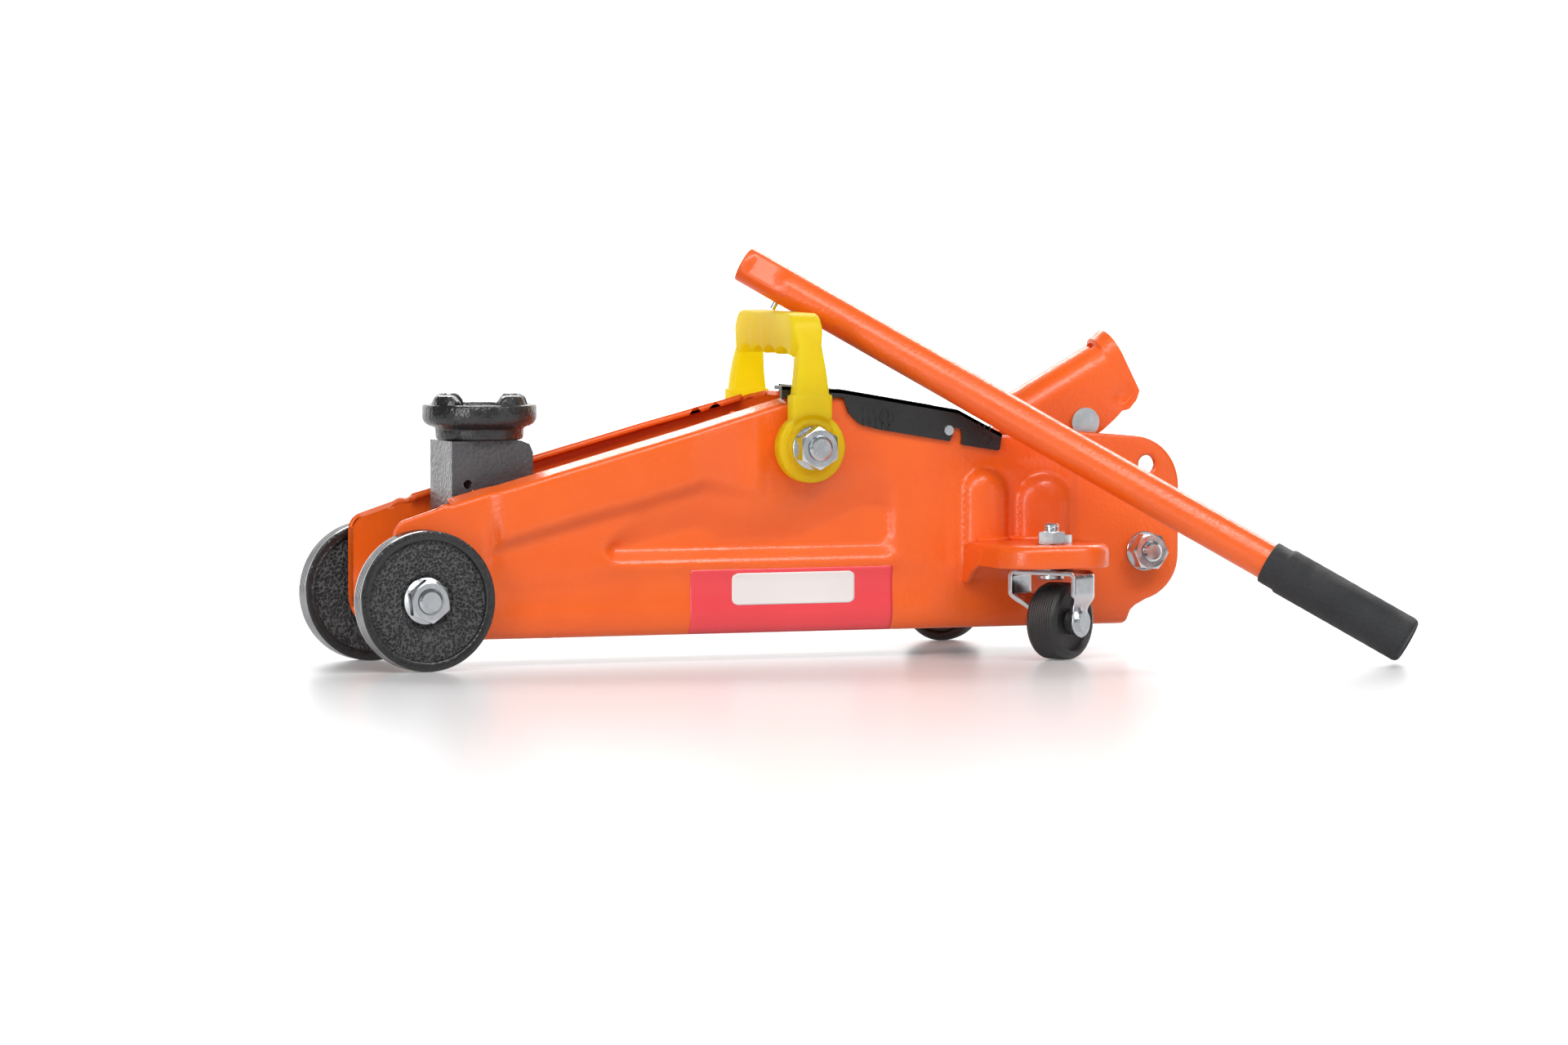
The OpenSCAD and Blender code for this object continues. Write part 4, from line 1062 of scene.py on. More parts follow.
# outer and inner point, front and back of the strap, from one ring over the grip to the other
def carryStations():
    look = carryLook
    stations = []
    for z in (7.4, 10, 16, 22, 26):
        stations.append(((carryOut, z), (carryIn, z), -look["legLow"], look["legLow"]))
    for z in (26.6, 30, 35, 40, 45, 49, 52):
        share = (z - 26.6) / 26
        half = look["legLow"] - 1.6 - (look["legLow"] - 1.6 - look["legHigh"]) * share
        stations.append(((carryOut, z), (carryIn, min(z, look["window"] - 2 + share)), -half, half))
    turns = 7
    for i in range(1, turns + 1):
        angle = math.radians(90 * i / turns)
        outer = (carryOut - look["corner"] * (1 - math.cos(angle)),
            look["top"] - look["corner"] * (1 - math.sin(angle)))
        inner = (carryIn - 3.0 * (1 - math.cos(angle)), look["window"] - 1 + 1.0 * math.sin(angle))
        stations.append((outer, inner, look["gripFront"], look["gripBack"]))
    last = 36.0
    count = 49
    for i in range(count):
        y = last - 2 * last * i / (count - 1)
        phase = (y / last) * look["fingers"] / 2
        rise = look["scallop"] * abs(math.sin(math.pi * phase)) ** 0.6
        stations.append(((y, look["top"]), (y, look["window"] + rise), look["gripFront"],
            look["gripBack"]))
    stations += [((-o[0], o[1]), (-i[0], i[1]), f, b) for o, i, f, b in reversed(stations[:-count])]
    return stations


def ringProfile(inner):
    radius = carryLook["ring"]
    rise = (carryOut - carryIn)
    low = carryIn
    return [(inner, low - 1.6), (radius - 1.6, low - 1.6), (radius - 1.5, low + 0.1),
        (radius - 0.4, low + 0.2), (radius, low + 0.7), (radius, low + rise - 0.9),
        (radius - 0.5, low + rise - 0.2), (radius - 1.2, low + rise), (radius - 3.4, low + rise),
        (radius - 4.0, low + rise - 0.7), (radius - 5.2, low + rise - 0.7),
        (radius - 5.7, low + rise), (inner + 0.4, low + rise), (inner, low + rise - 0.4)]


def addCarryHandle():
    sections = []
    for outer, inner, front, back in carryStations():
        most = 9.0 if outer[0] > 0 else 4.0
        lean = [most * smoothStep(z, 32, 64) for _, z in (outer, inner)]
        outer, inner = [(y * (1 - shift / carryOut), z)
            for (y, z), shift in zip((outer, inner), lean)]
        sections.append(strapSection(outer, inner, front, back))
    count = len(sections[0])
    verts = [(pivot.x + u, y, pivot.z + z) for section in sections for u, y, z in section]
    last = (len(sections) - 1) * count
    faces = bands(len(sections), count)
    faces += [tuple(range(count - 1, -1, -1)), tuple(last + k for k in range(count))]
    rings = [aroundY(turned(ringProfile(6.1)), pivot.x, pivot.z, side) for side in sides]
    addPiece("carryHandle", joined((verts, faces), *rings), "carry_handle", "yellow_plastic",
        stands=["carry_handle"], sharp=45)


addCarryHandle()


# saddle

saddleAt = jointAt("saddle_swivel")
seatZ = inJack(Vector((0, 0, 0))).z
saddleLook = {"radius": 28.7, "base": 11.8, "rim": 6.0, "lugTop": 10.8, "firstLug": 24.0,
    "lugHalf": 19.0}


def addSaddle():
    look = saddleLook
    base = seatZ - look["base"]
    rim = seatZ + look["rim"]
    wide = look["radius"]
    profile = [(0.0, base - 12.0), (7.6, base - 12.0), (8.0, base - 11.4), (8.0, base),
        (20.5, base), (21.6, base + 0.5), (22.0, base + 1.6), (22.2, base + 5.4),
        (23.2, base + 6.4), (25.4, base + 7.0), (27.3, base + 8.2), (28.4, base + 10.0),
        (wide, base + 12.0), (wide, rim - 1.2), (wide - 0.4, rim - 0.3),
        (wide - 1.2, rim), (wide - 3.6, rim), (wide - 4.6, rim - 0.6),
        (wide - 6.2, seatZ + 0.7), (wide - 7.4, seatZ), (10.0, seatZ), (8.6, seatZ - 1.2),
        (0.0, seatZ - 1.2)]
    cup = turned(profile, 112)
    lugs = []
    for quarter in range(4):
        middle = look["firstLug"] + 90 * quarter
        rows = []
        steps = 12
        for i in range(steps + 1):
            share = 2 * i / steps - 1
            angle = math.radians(middle + share * look["lugHalf"])
            top = seatZ + look["lugTop"] - 3.0 * max(0.0, abs(share) - 0.5) ** 1.6 / 0.33
            inner, outer = wide - 9.5, wide - 2.2 + 1.2 * (1 - abs(share))
            section = [(inner - 0.6, seatZ - 0.5), (inner, top - 2.2), (inner + 0.7, top - 0.8),
                (inner + 2.0, top), (outer - 1.8, top), (outer - 0.6, top - 0.6),
                (outer - 0.1, top - 2.0), (outer - 0.1, seatZ - 0.5)]
            rows.append([(r * math.cos(angle), r * math.sin(angle), z) for r, z in section])
        count = len(rows[0])
        verts = [v for row in rows for v in row]
        faces = bands(steps + 1, count)
        faces += [tuple(range(count - 1, -1, -1)), tuple(steps * count + k for k in range(count))]
        lugs.append((verts, faces))
    clip = turned([(7.9, base - 6.1), (10.3, base - 6.1), (10.5, base - 5.8), (10.5, base - 3.9),
        (10.3, base - 3.6), (7.9, base - 3.6)], 64)
    part = moved(joined(cup, clip, *lugs), Matrix.Translation((saddleAt.x, 0, 0)))
    addPiece("saddleCup", part, "saddle", "black_paint", stands=["saddle"], sharp=40, bevel=0.5)


addSaddle()
print("saddle done")


# rear cover

# a sheet with holes, drawn in X and Z and made solid between two values of |Y|
def holedSheet(outline, holes, low, high, side):
    rings = [list(outline)] + [list(h) for h in holes]
    corners, edges = [], []
    for ring in rings:
        base = len(corners)
        corners += [Vector(p) for p in ring]
        edges += [(base + i, base + (i + 1) % len(ring)) for i in range(len(ring))]
    verts, _, faces, *_ = delaunay_2d_cdt(corners, edges, [], 0, 1e-5)
    flat = np.array([tuple(v) for v in verts])
    kept = []
    for face in faces:
        middle = flat[list(face)].mean(0)[None]
        if insideBy(middle, outline)[0] > 0 and all(insideBy(middle, h)[0] < 0 for h in holes):
            kept.append(tuple(face))
    count = len(flat)
    verts = [(x, side * low, z) for x, z in flat] + [(x, side * high, z) for x, z in flat]
    faces = [f[::-1] for f in kept] + [tuple(count + i for i in f) for f in kept]
    uses = {}
    for face in kept:
        for a, b in zip(face, face[1:] + face[:1]):
            uses[(a, b)] = uses.get((a, b), 0) + 1
    for a, b in uses:
        if (b, a) not in uses:
            faces.append((a, b, count + b, count + a))
    return verts, faces


# the part of an outline behind a given X
def clipFront(outline, x0):
    kept = []
    for a, b in zip(outline, outline[1:] + outline[:1]):
        if a[0] >= x0:
            kept.append(a)
        if (a[0] < x0) != (b[0] < x0):
            share = (x0 - a[0]) / (b[0] - a[0])
            kept.append((x0, a[1] + (b[1] - a[1]) * share))
    return kept


coverBox = nodeBox("rear_cover")
coverEnd = (coverBox[1].x, pivot.z + 4.9)
pegBox = nodeBox("cover_pegs")
pegAt = ((pegBox[0].x + pegBox[1].x) / 2, (pegBox[0].z + pegBox[1].z) / 2)
coverWrap = plateOut + 0.2
coverShape = {"wall": 1.8, "ribs": 5, "ribPitch": 3.4, "rearRibs": 4, "ridges": (-16.0, 0.0, 16.0)}


def addCover():
    look = coverShape
    front = (pivot.x - 12.9, pivot.z + 24.2)
    ridge = [front, (front[0], front[1] + 6.6), (pivot.x + 20, pivot.z + 28.4),
        (coverEnd[0] - 24.4, coverEnd[1] + 12.6), coverEnd]
    flap = soft([ridge[0], (*ridge[1], 2.5), (*ridge[2], 8), (*ridge[3], 5), (*ridge[4], 1.5),
        (coverEnd[0] - 1.3, coverEnd[1] - 8.7, 1.5), (coverEnd[0] - 22.3, coverEnd[1] - 5.2, 1),
        (pegAt[0] + 7.4, pegAt[1] - 4.4, 0.8), (pegAt[0] + 7.2, pegAt[1] + 0.4, 0.8),
        (pegAt[0] + 2.4, pegAt[1] + 1.4, 0.6), (pegAt[0] + 2.9, pegAt[1] - 0.6, 1.5),
        (pegAt[0] + 0.8, pegAt[1] - 5.6, 0.8), (pegAt[0] - 38, pegAt[1] + 1.0, 9),
        (pivot.x + 29.5, pivot.z + 10.9, 6), (pivot.x + 23.6, pivot.z + 16.5, 4),
        (pivot.x + 20.6, pivot.z + 24.6, 2), (pivot.x + 14, pivot.z + 24.6, 1)])
    parts = []
    notch = pivot.x + 15
    for side in sides:
        outline = flap if side == left else clipFront(flap, notch)
        parts.append(holedSheet(outline, [], coverWrap, coverWrap + look["wall"], side))
        out = coverWrap + look["wall"]
        # upright ribs and two raised rings moulded on the flap
        for k in range(look["ribs"]):
            x = pivot.x + 31.5 + look["ribPitch"] * k
            z = pivot.z + 21.8 - 0.17 * (x - pivot.x)
            bar = [(x - 0.45, z - 6.5), (x + 0.45, z - 6.5), (x + 0.45, z + 3), (x - 0.45, z + 3)]
            parts.append(holedSheet(bar, [], out - 0.2, out + 0.35, side))
        for k in range(look["rearRibs"]):
            x = pegAt[0] + 13.5 + 3.0 * k
            z = coverEnd[1] + 1.4 + 0.2 * (coverEnd[0] - x) - 0.6
            bar = [(x - 0.4, z - 3.5), (x + 0.4, z - 3.5), (x + 0.4, z + 2), (x - 0.4, z + 2)]
            parts.append(holedSheet(bar, [], out - 0.2, out + 0.3, side))
        for centre in ((pivot.x + 44.3, pivot.z + 13.8), (pegAt[0] + 19.8, pegAt[1] - 4.0)):
            ring = [(3.1, out - 0.2), (4.2, out - 0.2), (4.1, out + 0.35), (3.2, out + 0.35)]
            parts.append(standing(turned(ring, 40), (centre[0], 0, centre[1]), (0, side, 0)))
    # the top, open in front for the arm
    top = soft([ridge[1], (*ridge[2], 10), (*ridge[3], 8), ridge[4]], closed=False, steps=6)
    half = coverWrap + look["wall"]
    inner = nodeBox("right_level_link")[1].y + 1
    spots = [ridge[1][0]] + [notch] + [x for x, _ in top]
    spots = sorted(set(round(x, 3) for x in spots))
    line = np.interp(spots, [p[0] for p in top], [p[1] for p in top])
    panels = [((-half, -inner), spots[0], spots[-1]), ((-inner, half), notch, spots[-1])]
    for (low, high), x0, x1 in panels:
        used = [(x, z) for x, z in zip(spots, line) if x0 - 0.01 <= x <= x1 + 0.01]
        verts = []
        for x, z in used:
            verts += [(x, low, z), (x, high, z), (x, high, z - 1.9), (x, low, z - 1.9)]
        faces = bands(len(used), 4)
        faces += [(3, 2, 1, 0), tuple(4 * (len(used) - 1) + k for k in range(4))]
        parts.append((verts, faces))
    # low stiffening ridges along the top
    x0, z0 = ridge[2]
    x1, z1 = ridge[3]
    for y in look["ridges"]:
        ends = [(x0 + (x1 - x0) * t, y, z0 + (z1 - z0) * t - 0.3) for t in (0.08, 0.5, 0.92)]
        parts.append(swept(ends, circlePoints(1.1, 10)))
    addPiece("rearCover", joined(*parts), "frame", "cover_plastic", stands=["rear_cover"],
        sharp=40, bevel=0.35)


addCover()
print("cover done")


# caster wings

wingLook = {"ahead": 29.5, "corner": 22.0, "shoulder": 4.2, "thick": 2.8, "lip": 11.7}


def addWing(side):
    name = sides[side] + "_caster_wing"
    look = wingLook
    x0, x1 = stemAt.x - look["ahead"], wingHigh.x
    y0, y1 = plateOut, wingHigh.y
    topZ = wingHigh.z
    roll = look["shoulder"]
    rows = [(0.0, topZ - look["lip"]), (0.0, topZ - look["lip"] + 3), (0.0, topZ - roll)]
    rows += [(roll * (1 - math.cos(a)), topZ - roll * (1 - math.sin(a)))
        for a in np.linspace(0.2, math.pi / 2, 7)]
    rows += [(6.5, topZ), (9.5, topZ)]
    verts = []
    for inset, z in rows:
        r = look["corner"] - inset
        line = [(x0 + inset, y0), (x0 + inset, (y0 + y1) / 2 - 12)]
        line += arcPoints((x0 + look["corner"], y1 - look["corner"]), r, 180, 90, 14)
        line += arcPoints((x1 - look["corner"], y1 - look["corner"]), r, 90, 0, 14)
        line += [(x1 - inset, (y0 + y1) / 2 - 12), (x1 - inset, y0)]
        verts += [(x, side * y, z) for x, y in line]
    count = len(line)
    base = (len(rows) - 1) * count
    faces = strips(len(rows), count) + [tuple(base + k for k in range(count))]
    wing = addPiece(sides[side] + "CasterWing", (verts, faces), "frame", "orange_paint",
        stands=[name], sharp=50)
    if wing.data.polygons[-1].normal.z < 0:
        wing.data.flip_normals()
    thicken(wing, look["thick"])
    soften(wing, 0.6, 2, 60)
    # gusset under the front edge and a weld bead along the plate
    gusset = [(x0 - 0.2, y0 - 0.2, topZ - 3), (x0 - 0.2, y0 + 27, topZ - 3.5),
        (x0 - 0.2, y0 + 24, topZ - 10), (x0 - 0.2, y0 + 12, topZ - 15),
        (x0 - 0.2, y0 + 5, topZ - 21), (x0 - 0.2, y0 - 0.2, topZ - 21)]
    verts = [(x, side * y, z) for x, y, z in gusset] + [(x + 3, side * y, z) for x, y, z in gusset]
    faces = [tuple(range(5, -1, -1)), tuple(range(6, 12))]
    faces += [(k, (k + 1) % 6, 6 + (k + 1) % 6, 6 + k) for k in range(6)]
    addPiece(sides[side] + "WingGusset", (verts, faces), "frame", "orange_paint", stands=[name],
        bevel=0.8)
    path = [(x, side * (y0 + 0.5 + float(pressedHeight([(x, topZ)])[0])), topZ + 0.4)
        for x in np.arange(x0 + 5, x1 - 5, 2.0)]
    addPiece(sides[side] + "WingWeld", swept(path, circlePoints(1.6, 10)), "frame", "orange_paint",
        stands=[name])


for side in sides:
    addWing(side)


# casters

stemBox = nodeBox("caster_stems")
stemY = abs(stemAt.y)


def addStems():
    low, high = stemBox[0].z, stemBox[1].z
    plate = wingHigh.z
    profile = [(0.0, low), (6.0, low), (6.5, low + 0.5), (6.5, low + 1.9), (4.0, low + 2.0),
        (4.0, plate - 3.0)]
    at = plate + 6.8
    profile += [(4.0, at)]
    while at < high - 1.4:
        profile += [(3.7, at + 0.3), (3.7, at + 0.5), (4.0, at + 0.8), (4.0, at + 1.0)]
        at += 1.25
    profile += [(4.0, high - 0.8), (3.3, high), (0.0, high)]
    race = [(4.1, plate - 12.6), (11.0, plate - 12.6), (13.2, plate - 11.4), (13.5, plate - 10.0),
        (13.0, plate - 6.4), (12.0, plate - 3.4), (4.1, plate - 3.1)]
    part = joined(turned(profile, 48), turned(race, 64))
    parts = [moved(part, Matrix.Translation((stemAt.x, side * stemY, 0))) for side in sides]
    addPiece("casterStems", joined(*parts), "frame", "zinc", stands=["caster_stems"], sharp=40)
    nuts = []
    for side in sides:
        nut = hexNut(13.0, 6.5, 8.0, 72)
        turn = Matrix.Rotation(math.radians(18 * side), 4, "Z")
        nuts.append(moved(nut, Matrix.Translation((stemAt.x, side * stemY, plate)) @ turn))
        tab = extruded(soft([(5.5, -2.6, 0.4), (10.5, -2.6, 0.8), (10.5, 2.6, 0.8),
            (5.5, 2.6, 0.4)]), 0.0, 4.6)
        nuts.append(moved(tab, Matrix.Translation((stemAt.x, side * stemY, plate))))
    addPiece("casterNuts", joined(*nuts), "frame", "zinc", stands=["caster_nuts"], sharp=16)


addStems()

casterLook = {"ribs": 9, "ribDepth": 0.28}


def casterProfile(radius, low, high):
    crown = []
    count = casterLook["ribs"] * 4
    for k in range(count + 1):
        at = low + 3 + (high - low - 6) * k / count
        across = 2 * (at - low) / (high - low) - 1
        drop = casterLook["ribDepth"] * (0.5 - 0.5 * math.cos(math.pi * k / 2)) + 0.5 * across ** 2
        crown.append((radius - drop, at))
    return [(3.05, low - 1), (5.2, low - 1), (5.6, low - 0.6), (6.6, low + 1.9),
        (radius - 5.2, low + 2.2), (radius - 4.2, low + 0.4), (radius - 3.6, low),
        (radius - 2.0, low + 0.4), (radius - 0.9, low + 1.5)] + crown \
        + [(radius - 0.9, high - 1.5), (radius - 2.0, high - 0.4), (radius - 3.6, high),
        (radius - 4.2, high - 0.4), (radius - 5.2, high - 2.2), (6.6, high - 1.9),
        (5.6, high + 0.6), (5.2, high + 1), (3.05, high + 1)]


def addCasterWheel(side):
    name = sides[side] + "_caster_wheel"
    at = jointAt(sides[side] + "_caster_spin")
    axis = Vector(joints[sides[side] + "_caster_spin"]["axis"])
    low, high = nodeBox(name)
    radius = (high.z - low.z) / 2
    wheel = turned(casterProfile(radius, -9.0, 9.0), 96)
    addPiece(sides[side] + "CasterWheel", standing(wheel, at, axis), name, "caster_nylon",
        stands=[name], sharp=40)


for side in sides:
    addCasterWheel(side)
print("casters done")


# caster forks

forkLook = {"half": 20.0, "thick": 2.2, "wide": 9.0, "eye": 8.0, "lowIn": 13.1, "corner": 3.4}


# the outer face of one leg from the middle of the top plate down: (out, height, shift, half width)
def forkRows(top, axleHeight, trail):
    look = forkLook
    half, corner = look["half"], look["corner"]
    rows = [(y, top, 0.0, look["wide"]) for y in np.linspace(0, half - corner, 6)]
    rows += [(half - corner + corner * math.sin(a), top - corner + corner * math.cos(a), 0.0,
        look["wide"]) for a in np.linspace(0.25, math.pi / 2, 6)]
    bottom = axleHeight - look["eye"]
    for z in np.linspace(top - corner - 1, bottom + 0.02, 30):
        lean = smoothStep(-z, -(axleHeight + 14), -(axleHeight + 4.2))
        out = half - (half - look["lowIn"]) * lean
        shift = trail * smoothStep(-z, -(axleHeight + 15), -(axleHeight + 1))
        below = z - axleHeight
        eye = math.sqrt(max(0.0, look["eye"] ** 2 - below ** 2)) if below < 5 else 0.0
        neck = look["wide"] - 2.3 * smoothStep(-z, -(axleHeight + 13), -(axleHeight + 5))
        wide = eye if below < 2.5 else max(eye, neck)
        rows.append((out, z, shift, max(wide, 0.4)))
    return rows


def addFork(side):
    name = sides[side] + "_caster_fork"
    at = jointAt(sides[side] + "_caster_spin")
    stem = jointAt(sides[side] + "_caster_swivel")
    away = Vector((at.x - stem.x, at.y - stem.y, 0))
    trail = away.length
    along = away.normalized()
    across = Vector((-along.y, along.x, 0))
    top = nodeBox(name)[1].z
    leg = forkRows(top, at.z, trail)
    strip = [(-y, z, c, w) for y, z, c, w in reversed(leg)] + leg[1:]
    columns = np.linspace(-1, 1, 9)
    verts = []
    for y, z, shift, wide in strip:
        centre = Vector((stem.x, stem.y, z)) + across * y
        verts += [tuple(centre + along * (shift + wide * u)) for u in columns]
    count = len(columns)
    faces = strips(len(strip), count)
    body = sides[side] + "_caster"
    fork = addPiece(sides[side] + "CasterFork", (verts, faces), body, "zinc", stands=[name],
        sharp=50)
    if fork.data.polygons[len(faces) // 2].normal.z < 0:
        fork.data.flip_normals()
    thicken(fork, forkLook["thick"])
    soften(fork, 0.4, 2, 50)


for side in sides:
    addFork(side)


# handle socket

socketLook = {"front": -27.0, "rear": 34.5, "half": 13.0, "thick": 2.7, "tilt": 27.0,
    "frontTop": 29.6, "rearTop": 31.6, "notch": (23.2, 26.2), "lip": 14.0}
socketHem = [(-27, 12), (-24, 5), (-9, -2.5), (-4.5, -7.9), (0, -9), (7, -8.9), (16, -6.9),
    (20, -5.6), (21.4, -4.9), (25.5, -6.1), (31, -3.8), (34.5, 0.2)]


# from (along the socket, up, across) to the jack
def socketPlace(s, t, y):
    tilt = math.radians(socketLook["tilt"])
    return (socketPivot.x + s * math.cos(tilt) - t * math.sin(tilt), y,
        socketPivot.z + s * math.sin(tilt) + t * math.cos(tilt))


# the pressed tube with its open underside and the notch on top
def socketShell():
    look = socketLook
    stations = sorted(set(list(np.linspace(look["front"], look["rear"], 44)) + list(look["notch"])))
    bow = [math.pi * k / 28 for k in range(29)]
    notchAngle = 2.5 / look["half"]
    bow = sorted(bow + [math.pi / 2 - notchAngle, math.pi / 2 + notchAngle])
    downs = 9
    verts, rows = [], []
    for s in stations:
        share = (s - look["front"]) / (look["rear"] - look["front"])
        top = look["frontTop"] + (look["rearTop"] - look["frontTop"]) * share
        top += 2.0 * smoothStep(s, 26.2, 27.4)
        flare = 1.3 * smoothStep(s, 28.5, 34.5)
        half = look["half"] + flare
        middle = top - look["half"]
        hem = float(np.interp(s, [p[0] for p in socketHem], [p[1] for p in socketHem]))
        wall = []
        for k in range(downs):
            t = hem + (middle - hem) * k / downs
            dent = 1.5 * math.exp(-((s - 25) / 5.0) ** 2 - ((t - 1.5) / 3.6) ** 2)
            wall.append((t, half - dent))
        row = [(t, -y) for t, y in wall]
        row += [(middle + half * math.sin(a), -half * math.cos(a)) for a in bow]
        row += wall[::-1]
        verts += [socketPlace(s, t, y) for t, y in row]
        rows.append(row)
    count = len(rows[0])
    faces = []
    for i in range(len(stations) - 1):
        first, last = look["notch"]
        inNotch = first - 0.01 <= stations[i] and stations[i + 1] <= last + 0.01
        for k in range(count - 1):
            a, b = rows[i][k], rows[i][k + 1]
            if inNotch and max(abs(a[1]), abs(b[1])) < 6.0 and a[0] > 20:
                continue
            faces.append((i * count + k, i * count + k + 1, (i + 1) * count + k + 1,
                (i + 1) * count + k))
    return verts, faces


# the curled lip under the rear end
def socketLip():
    look = socketLook
    stations = np.linspace(look["lip"], look["rear"], 14)
    verts = []
    columns = np.linspace(-1, 1, 17)
    for s in stations:
        hem = float(np.interp(s, [p[0] for p in socketHem], [p[1] for p in socketHem]))
        flare = 1.3 * smoothStep(s, 28.5, 34.5)
        half = look["half"] + flare - 0.2
        for u in columns:
            rise = 3.6 * (1 - math.sqrt(max(0.0, 1 - abs(u) ** 2.6)))
            verts.append(socketPlace(s, hem - flare * 0.4 + rise, half * u))
    count = len(columns)
    faces = [(i * count + k, (i + 1) * count + k, (i + 1) * count + k + 1, i * count + k + 1)
        for i in range(len(stations) - 1) for k in range(count - 1)]
    return verts, faces


def addSocket():
    shell = addPiece("handleSocket", socketShell(), "handle_socket", "orange_paint",
        stands=["handle_socket"], sharp=50)
    middle = shell.data.polygons[len(shell.data.polygons) // 2]
    crown = Vector(jack(*socketPlace(3.0, 17.0, 0.0)))
    outward = (middle.center - crown).dot(middle.normal) > 0
    thicken(shell, socketLook["thick"], -1.0 if outward else 1.0)
    soften(shell, 0.45, 2, 50)
    lip = addPiece("socketLip", socketLip(), "handle_socket", "orange_paint",
        stands=["handle_socket"], sharp=50)
    down = lip.data.polygons[len(lip.data.polygons) // 2].normal.z < 0
    thicken(lip, 2.4, -1.0 if down else 1.0)
    soften(lip, 0.45, 2, 50)
    drop = 22.0
    tilt = math.radians(socketLook["tilt"])
    roller = (-drop * math.sin(tilt), -drop * math.cos(tilt))
    lean = math.degrees(math.atan2(roller[1], roller[0]))
    outline = arcPoints((0, 0), 9.0, lean + 102, lean + 258, 20) \
        + arcPoints(roller, 5.0, lean - 78, lean + 78, 14)
    arms = []
    for side in sides:
        flat = holedSheet(outline, [circlePoints(4.05, 24),
            [(roller[0] + u, roller[1] + v) for u, v in circlePoints(2.5, 20)]], 10.5, 12.9, side)
        arms.append(([socketPlace(x, z, y) for x, y, z in flat[0]], flat[1]))
    addPiece("socketArms", joined(*arms), "handle_socket", "orange_paint",
        stands=["handle_socket"], bevel=0.5)


addSocket()
print("socket done")


# handle bar

barLook = {"radius": 9.5, "wall": 1.6, "length": 382.0, "grip": 81.0, "gripRadius": 12.0,
    "dentDepth": 2.0, "dentFrom": 3.0, "dentTo": 27.0}
barAlong = Vector((0.7325, -0.481, -0.483)).normalized()
barTop = Vector((pivot.x - 11.5, 18.0, pivot.z + 90.9))
pinSide = Vector((-0.404, 0.265, -0.8755)).normalized()
towardFront = barAlong.cross(pinSide).normalized()


# rings along the bar, each with its own radius for every direction
def alongBar(rows, around=64):
    verts = []
    for s, radiusAt in rows:
        centre = barTop + barAlong * s
        for k in range(around):
            angle = 2 * math.pi * k / around
            r = radiusAt(angle)
            spot = centre + (pinSide * math.cos(angle) + towardFront * math.sin(angle)) * r
            verts.append(tuple(spot))
    count = len(rows)
    faces = []
    for i in range(count):
        j = (i + 1) % count
        for k in range(around):
            n = (k + 1) % around
            faces.append((i * around + k, i * around + n, j * around + n, j * around + k))
    return verts, faces


# the flat pressed near the upper end: its depth at a distance and an angle
def dentAt(s, angle):
    look = barLook
    facing = 1.95 if towardFront.y < 0 else 2 * math.pi - 1.95
    off = (angle - facing + math.pi) % (2 * math.pi) - math.pi
    share = smoothStep(s, look["dentFrom"], look["dentFrom"] + 3.0) \
        * smoothStep(-s, -look["dentTo"], -look["dentTo"] + 11.0)
    flat = look["radius"] - (look["radius"] - look["dentDepth"]) / max(math.cos(off), 0.3)
    return share * max(0.0, flat) if abs(off) < 1.1 else 0.0


def addHandleTube():
    look = barLook
    outer = look["radius"]
    inner = outer - look["wall"]
    stations = [0.0, 0.35] + list(np.arange(1.5, 34, 1.25)) + list(np.arange(36, 300, 12)) \
        + [look["length"] - 0.4, look["length"]]
    rows = []
    for i, s in enumerate(stations):
        trim = 0.35 if i == 0 else 0.0
        rows.append((s, lambda a, s=s, t=trim: outer - t - dentAt(s, a)))
    for i, s in enumerate(reversed(stations)):
        rows.append((s, lambda a, s=s: inner - dentAt(s, a) * 0.92))
    addPiece("handleTube", alongBar(rows, 72), "handle_bar", "orange_paint",
        stands=["handle_tube"], sharp=50)


addHandleTube()


def addGrip():
    look = barLook
    end = 388.0
    start = end - look["grip"]
    r = look["gripRadius"]
    rows = [(start, 9.55), (start, 10.5), (start + 0.5, 11.0), (start + 4, 11.05),
        (start + 8.2, 11.05), (start + 9.0, 11.4), (start + 9.8, 11.9), (start + 11, r)]
    rows += [(s, r - 0.05 + 0.05 * math.sin(s * 0.9)) for s in np.arange(start + 14, end - 5, 3.0)]
    rows += [(end - 3.0, r), (end - 1.4, r - 0.35), (end - 0.5, r - 1.0), (end, r - 1.9),
        (end, r - 3.4), (end - 0.6, r - 4.2), (end - 0.8, 2.0), (end - 0.8, 0.01),
        (end - 4.9, 0.01), (end - 4.9, 9.55)]
    uneven = {start + 4: 0.12, start + 8.2: 0.1}
    shaped = [(s, lambda a, r=radius, u=uneven.get(s, 0.0): r + u * math.sin(3 * a + 1))
        for s, radius in rows]
    addPiece("handleGrip", alongBar(shaped, 64), "handle_bar", "rubber", stands=["handle_grip"],
        sharp=35)


addGrip()


# springs

springLook = {"wire": 0.9, "coil": 3.6, "turns": 22, "pumpWire": 0.55, "pumpCoil": 5.5,
    "pumpTurns": 4.5}


def coilPath(start, length, radius, turns):
    path = []
    perTurn = 20
    total = int(turns * perTurn)
    for i in range(total + 1):
        angle = 2 * math.pi * i / perTurn
        path.append(Vector((start[0] + length * i / total, start[1] + radius * math.cos(angle),
            start[2] + radius * math.sin(angle))))
    return path


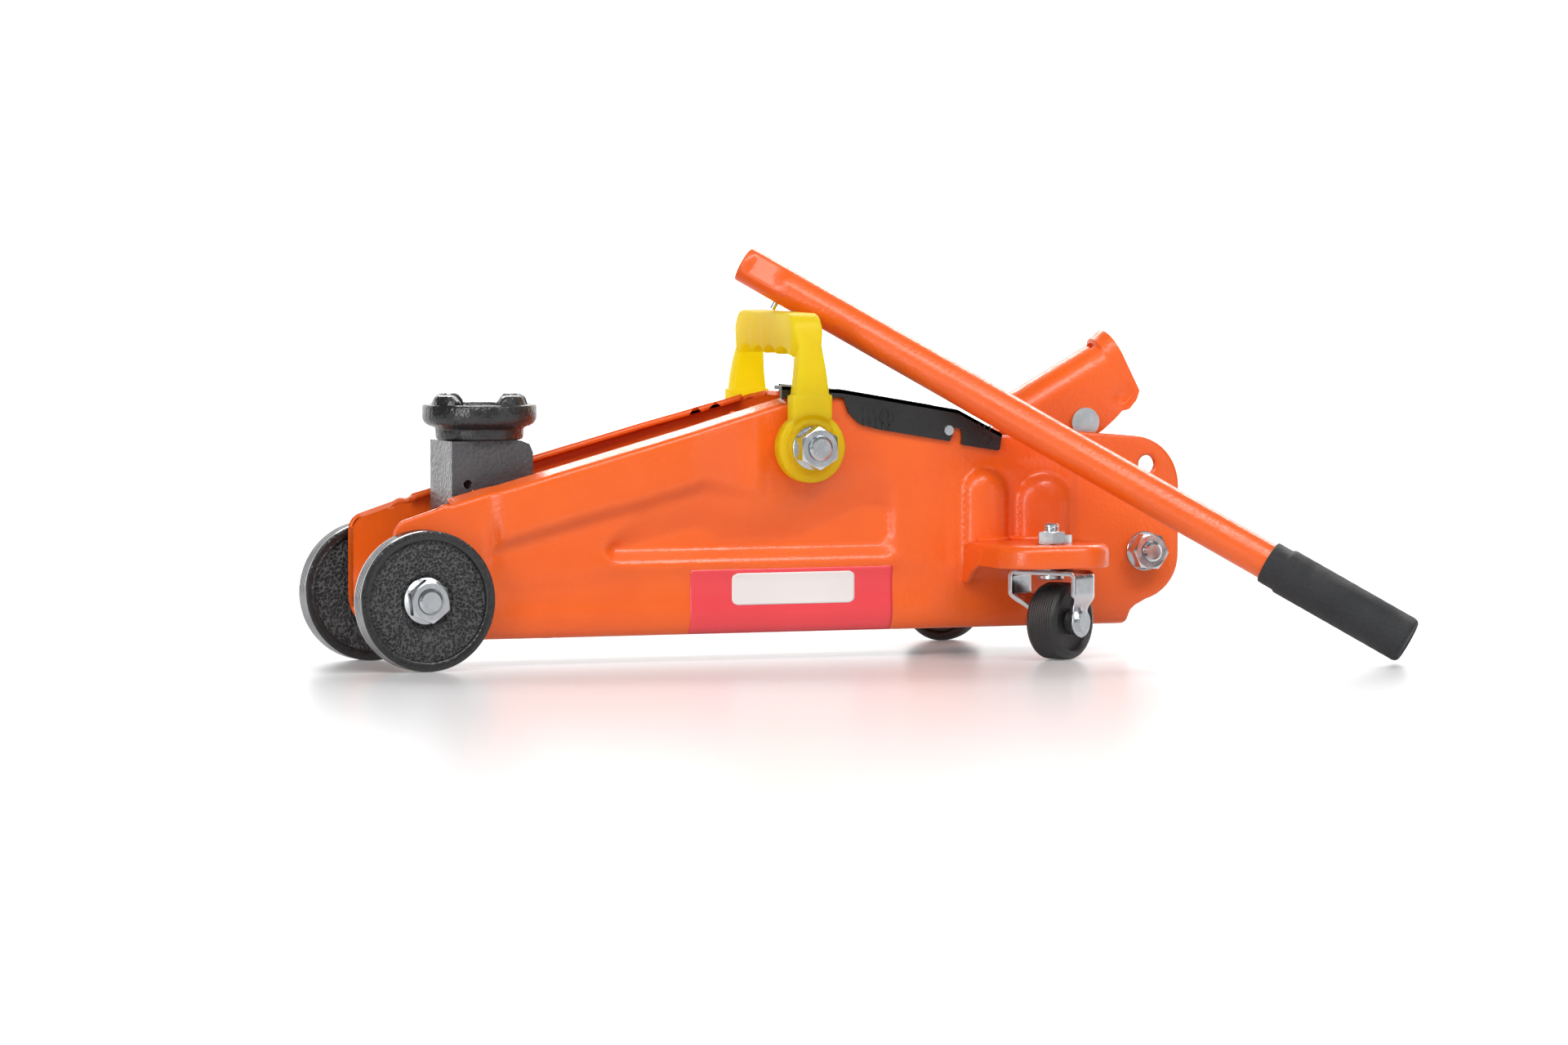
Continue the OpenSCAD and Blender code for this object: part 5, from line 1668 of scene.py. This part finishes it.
def addSprings():
    look = springLook
    low, high = nodeBox("return_springs")
    middleZ = (low.z + high.z) / 2
    y = high.y - 4.5
    for side in sides:
        path = coilPath((low.x + 0.9, side * y, middleZ), high.x - low.x - 1.8, look["coil"],
            look["turns"])
        wire = swept(path, circlePoints(look["wire"], 8))
        spring = addPiece(sides[side] + "ReturnSpring", wire, None, "spring_steel",
            stands=["return_springs"])
        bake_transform(spring)
    low, high = nodeBox("plunger_spring")
    middleZ = (low.z + high.z) / 2
    path = coilPath((low.x + 0.5, 0, middleZ), high.x - low.x - 1.0, look["pumpCoil"],
        look["pumpTurns"])
    spring = addPiece("plungerSpring", swept(path, circlePoints(look["pumpWire"], 8)), None,
        "spring_steel", stands=["plunger_spring"])
    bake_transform(spring)


addSprings()
print("springs done")


# the other nodes

nodeSlots = {
    "orange_paint": ["lift_arm"],
    "black_paint": ["saddle_bracket", "left_level_link", "right_level_link", "valve_block",
        "cylinder_head"],
    "tank_paint": ["reservoir"],
    "zinc": ["cover_pegs", "socket_pin", "left_caster_axle", "right_caster_axle", "locating_pin",
        "link_pins", "release_valve", "bracket_pin", "axle_spacer"],
    "bare_steel": ["pivot_bushes", "link_studs", "rear_spacer", "ram_cylinder", "pump_cylinder",
        "crank_pin", "ram", "spring_bar", "pump_plunger", "pump_roller", "roller_pin"],
    "rubber": ["rod_seal", "piston_seal", "filler_plug"],
}
nodeBevels = {"lift_arm": 1.0, "saddle_bracket": 2.0, "socket_pin": 0.9, "left_caster_axle": 0.7,
    "right_caster_axle": 0.7, "locating_pin": 0.3, "cover_pegs": 0.4, "valve_block": 1.2}
nodeMaterials = {"saddle_bracket": bracketPaintAndSheen}


# gives a CAD node its finish and rounded edges
def dressNode(name, slotName):
    node = frame["nodes"][name]
    node.data.materials.clear()
    node.data.materials.append(nodeMaterials.get(name, slotMaterials[slotName]))
    soften(node, nodeBevels.get(name, 0.4), 3, 35)
    node.data.shade_smooth()
    node.data.set_sharp_from_angle(angle=math.radians(35))


for slotName, names in nodeSlots.items():
    for name in names:
        dressNode(name, slotName)
print("nodes dressed")
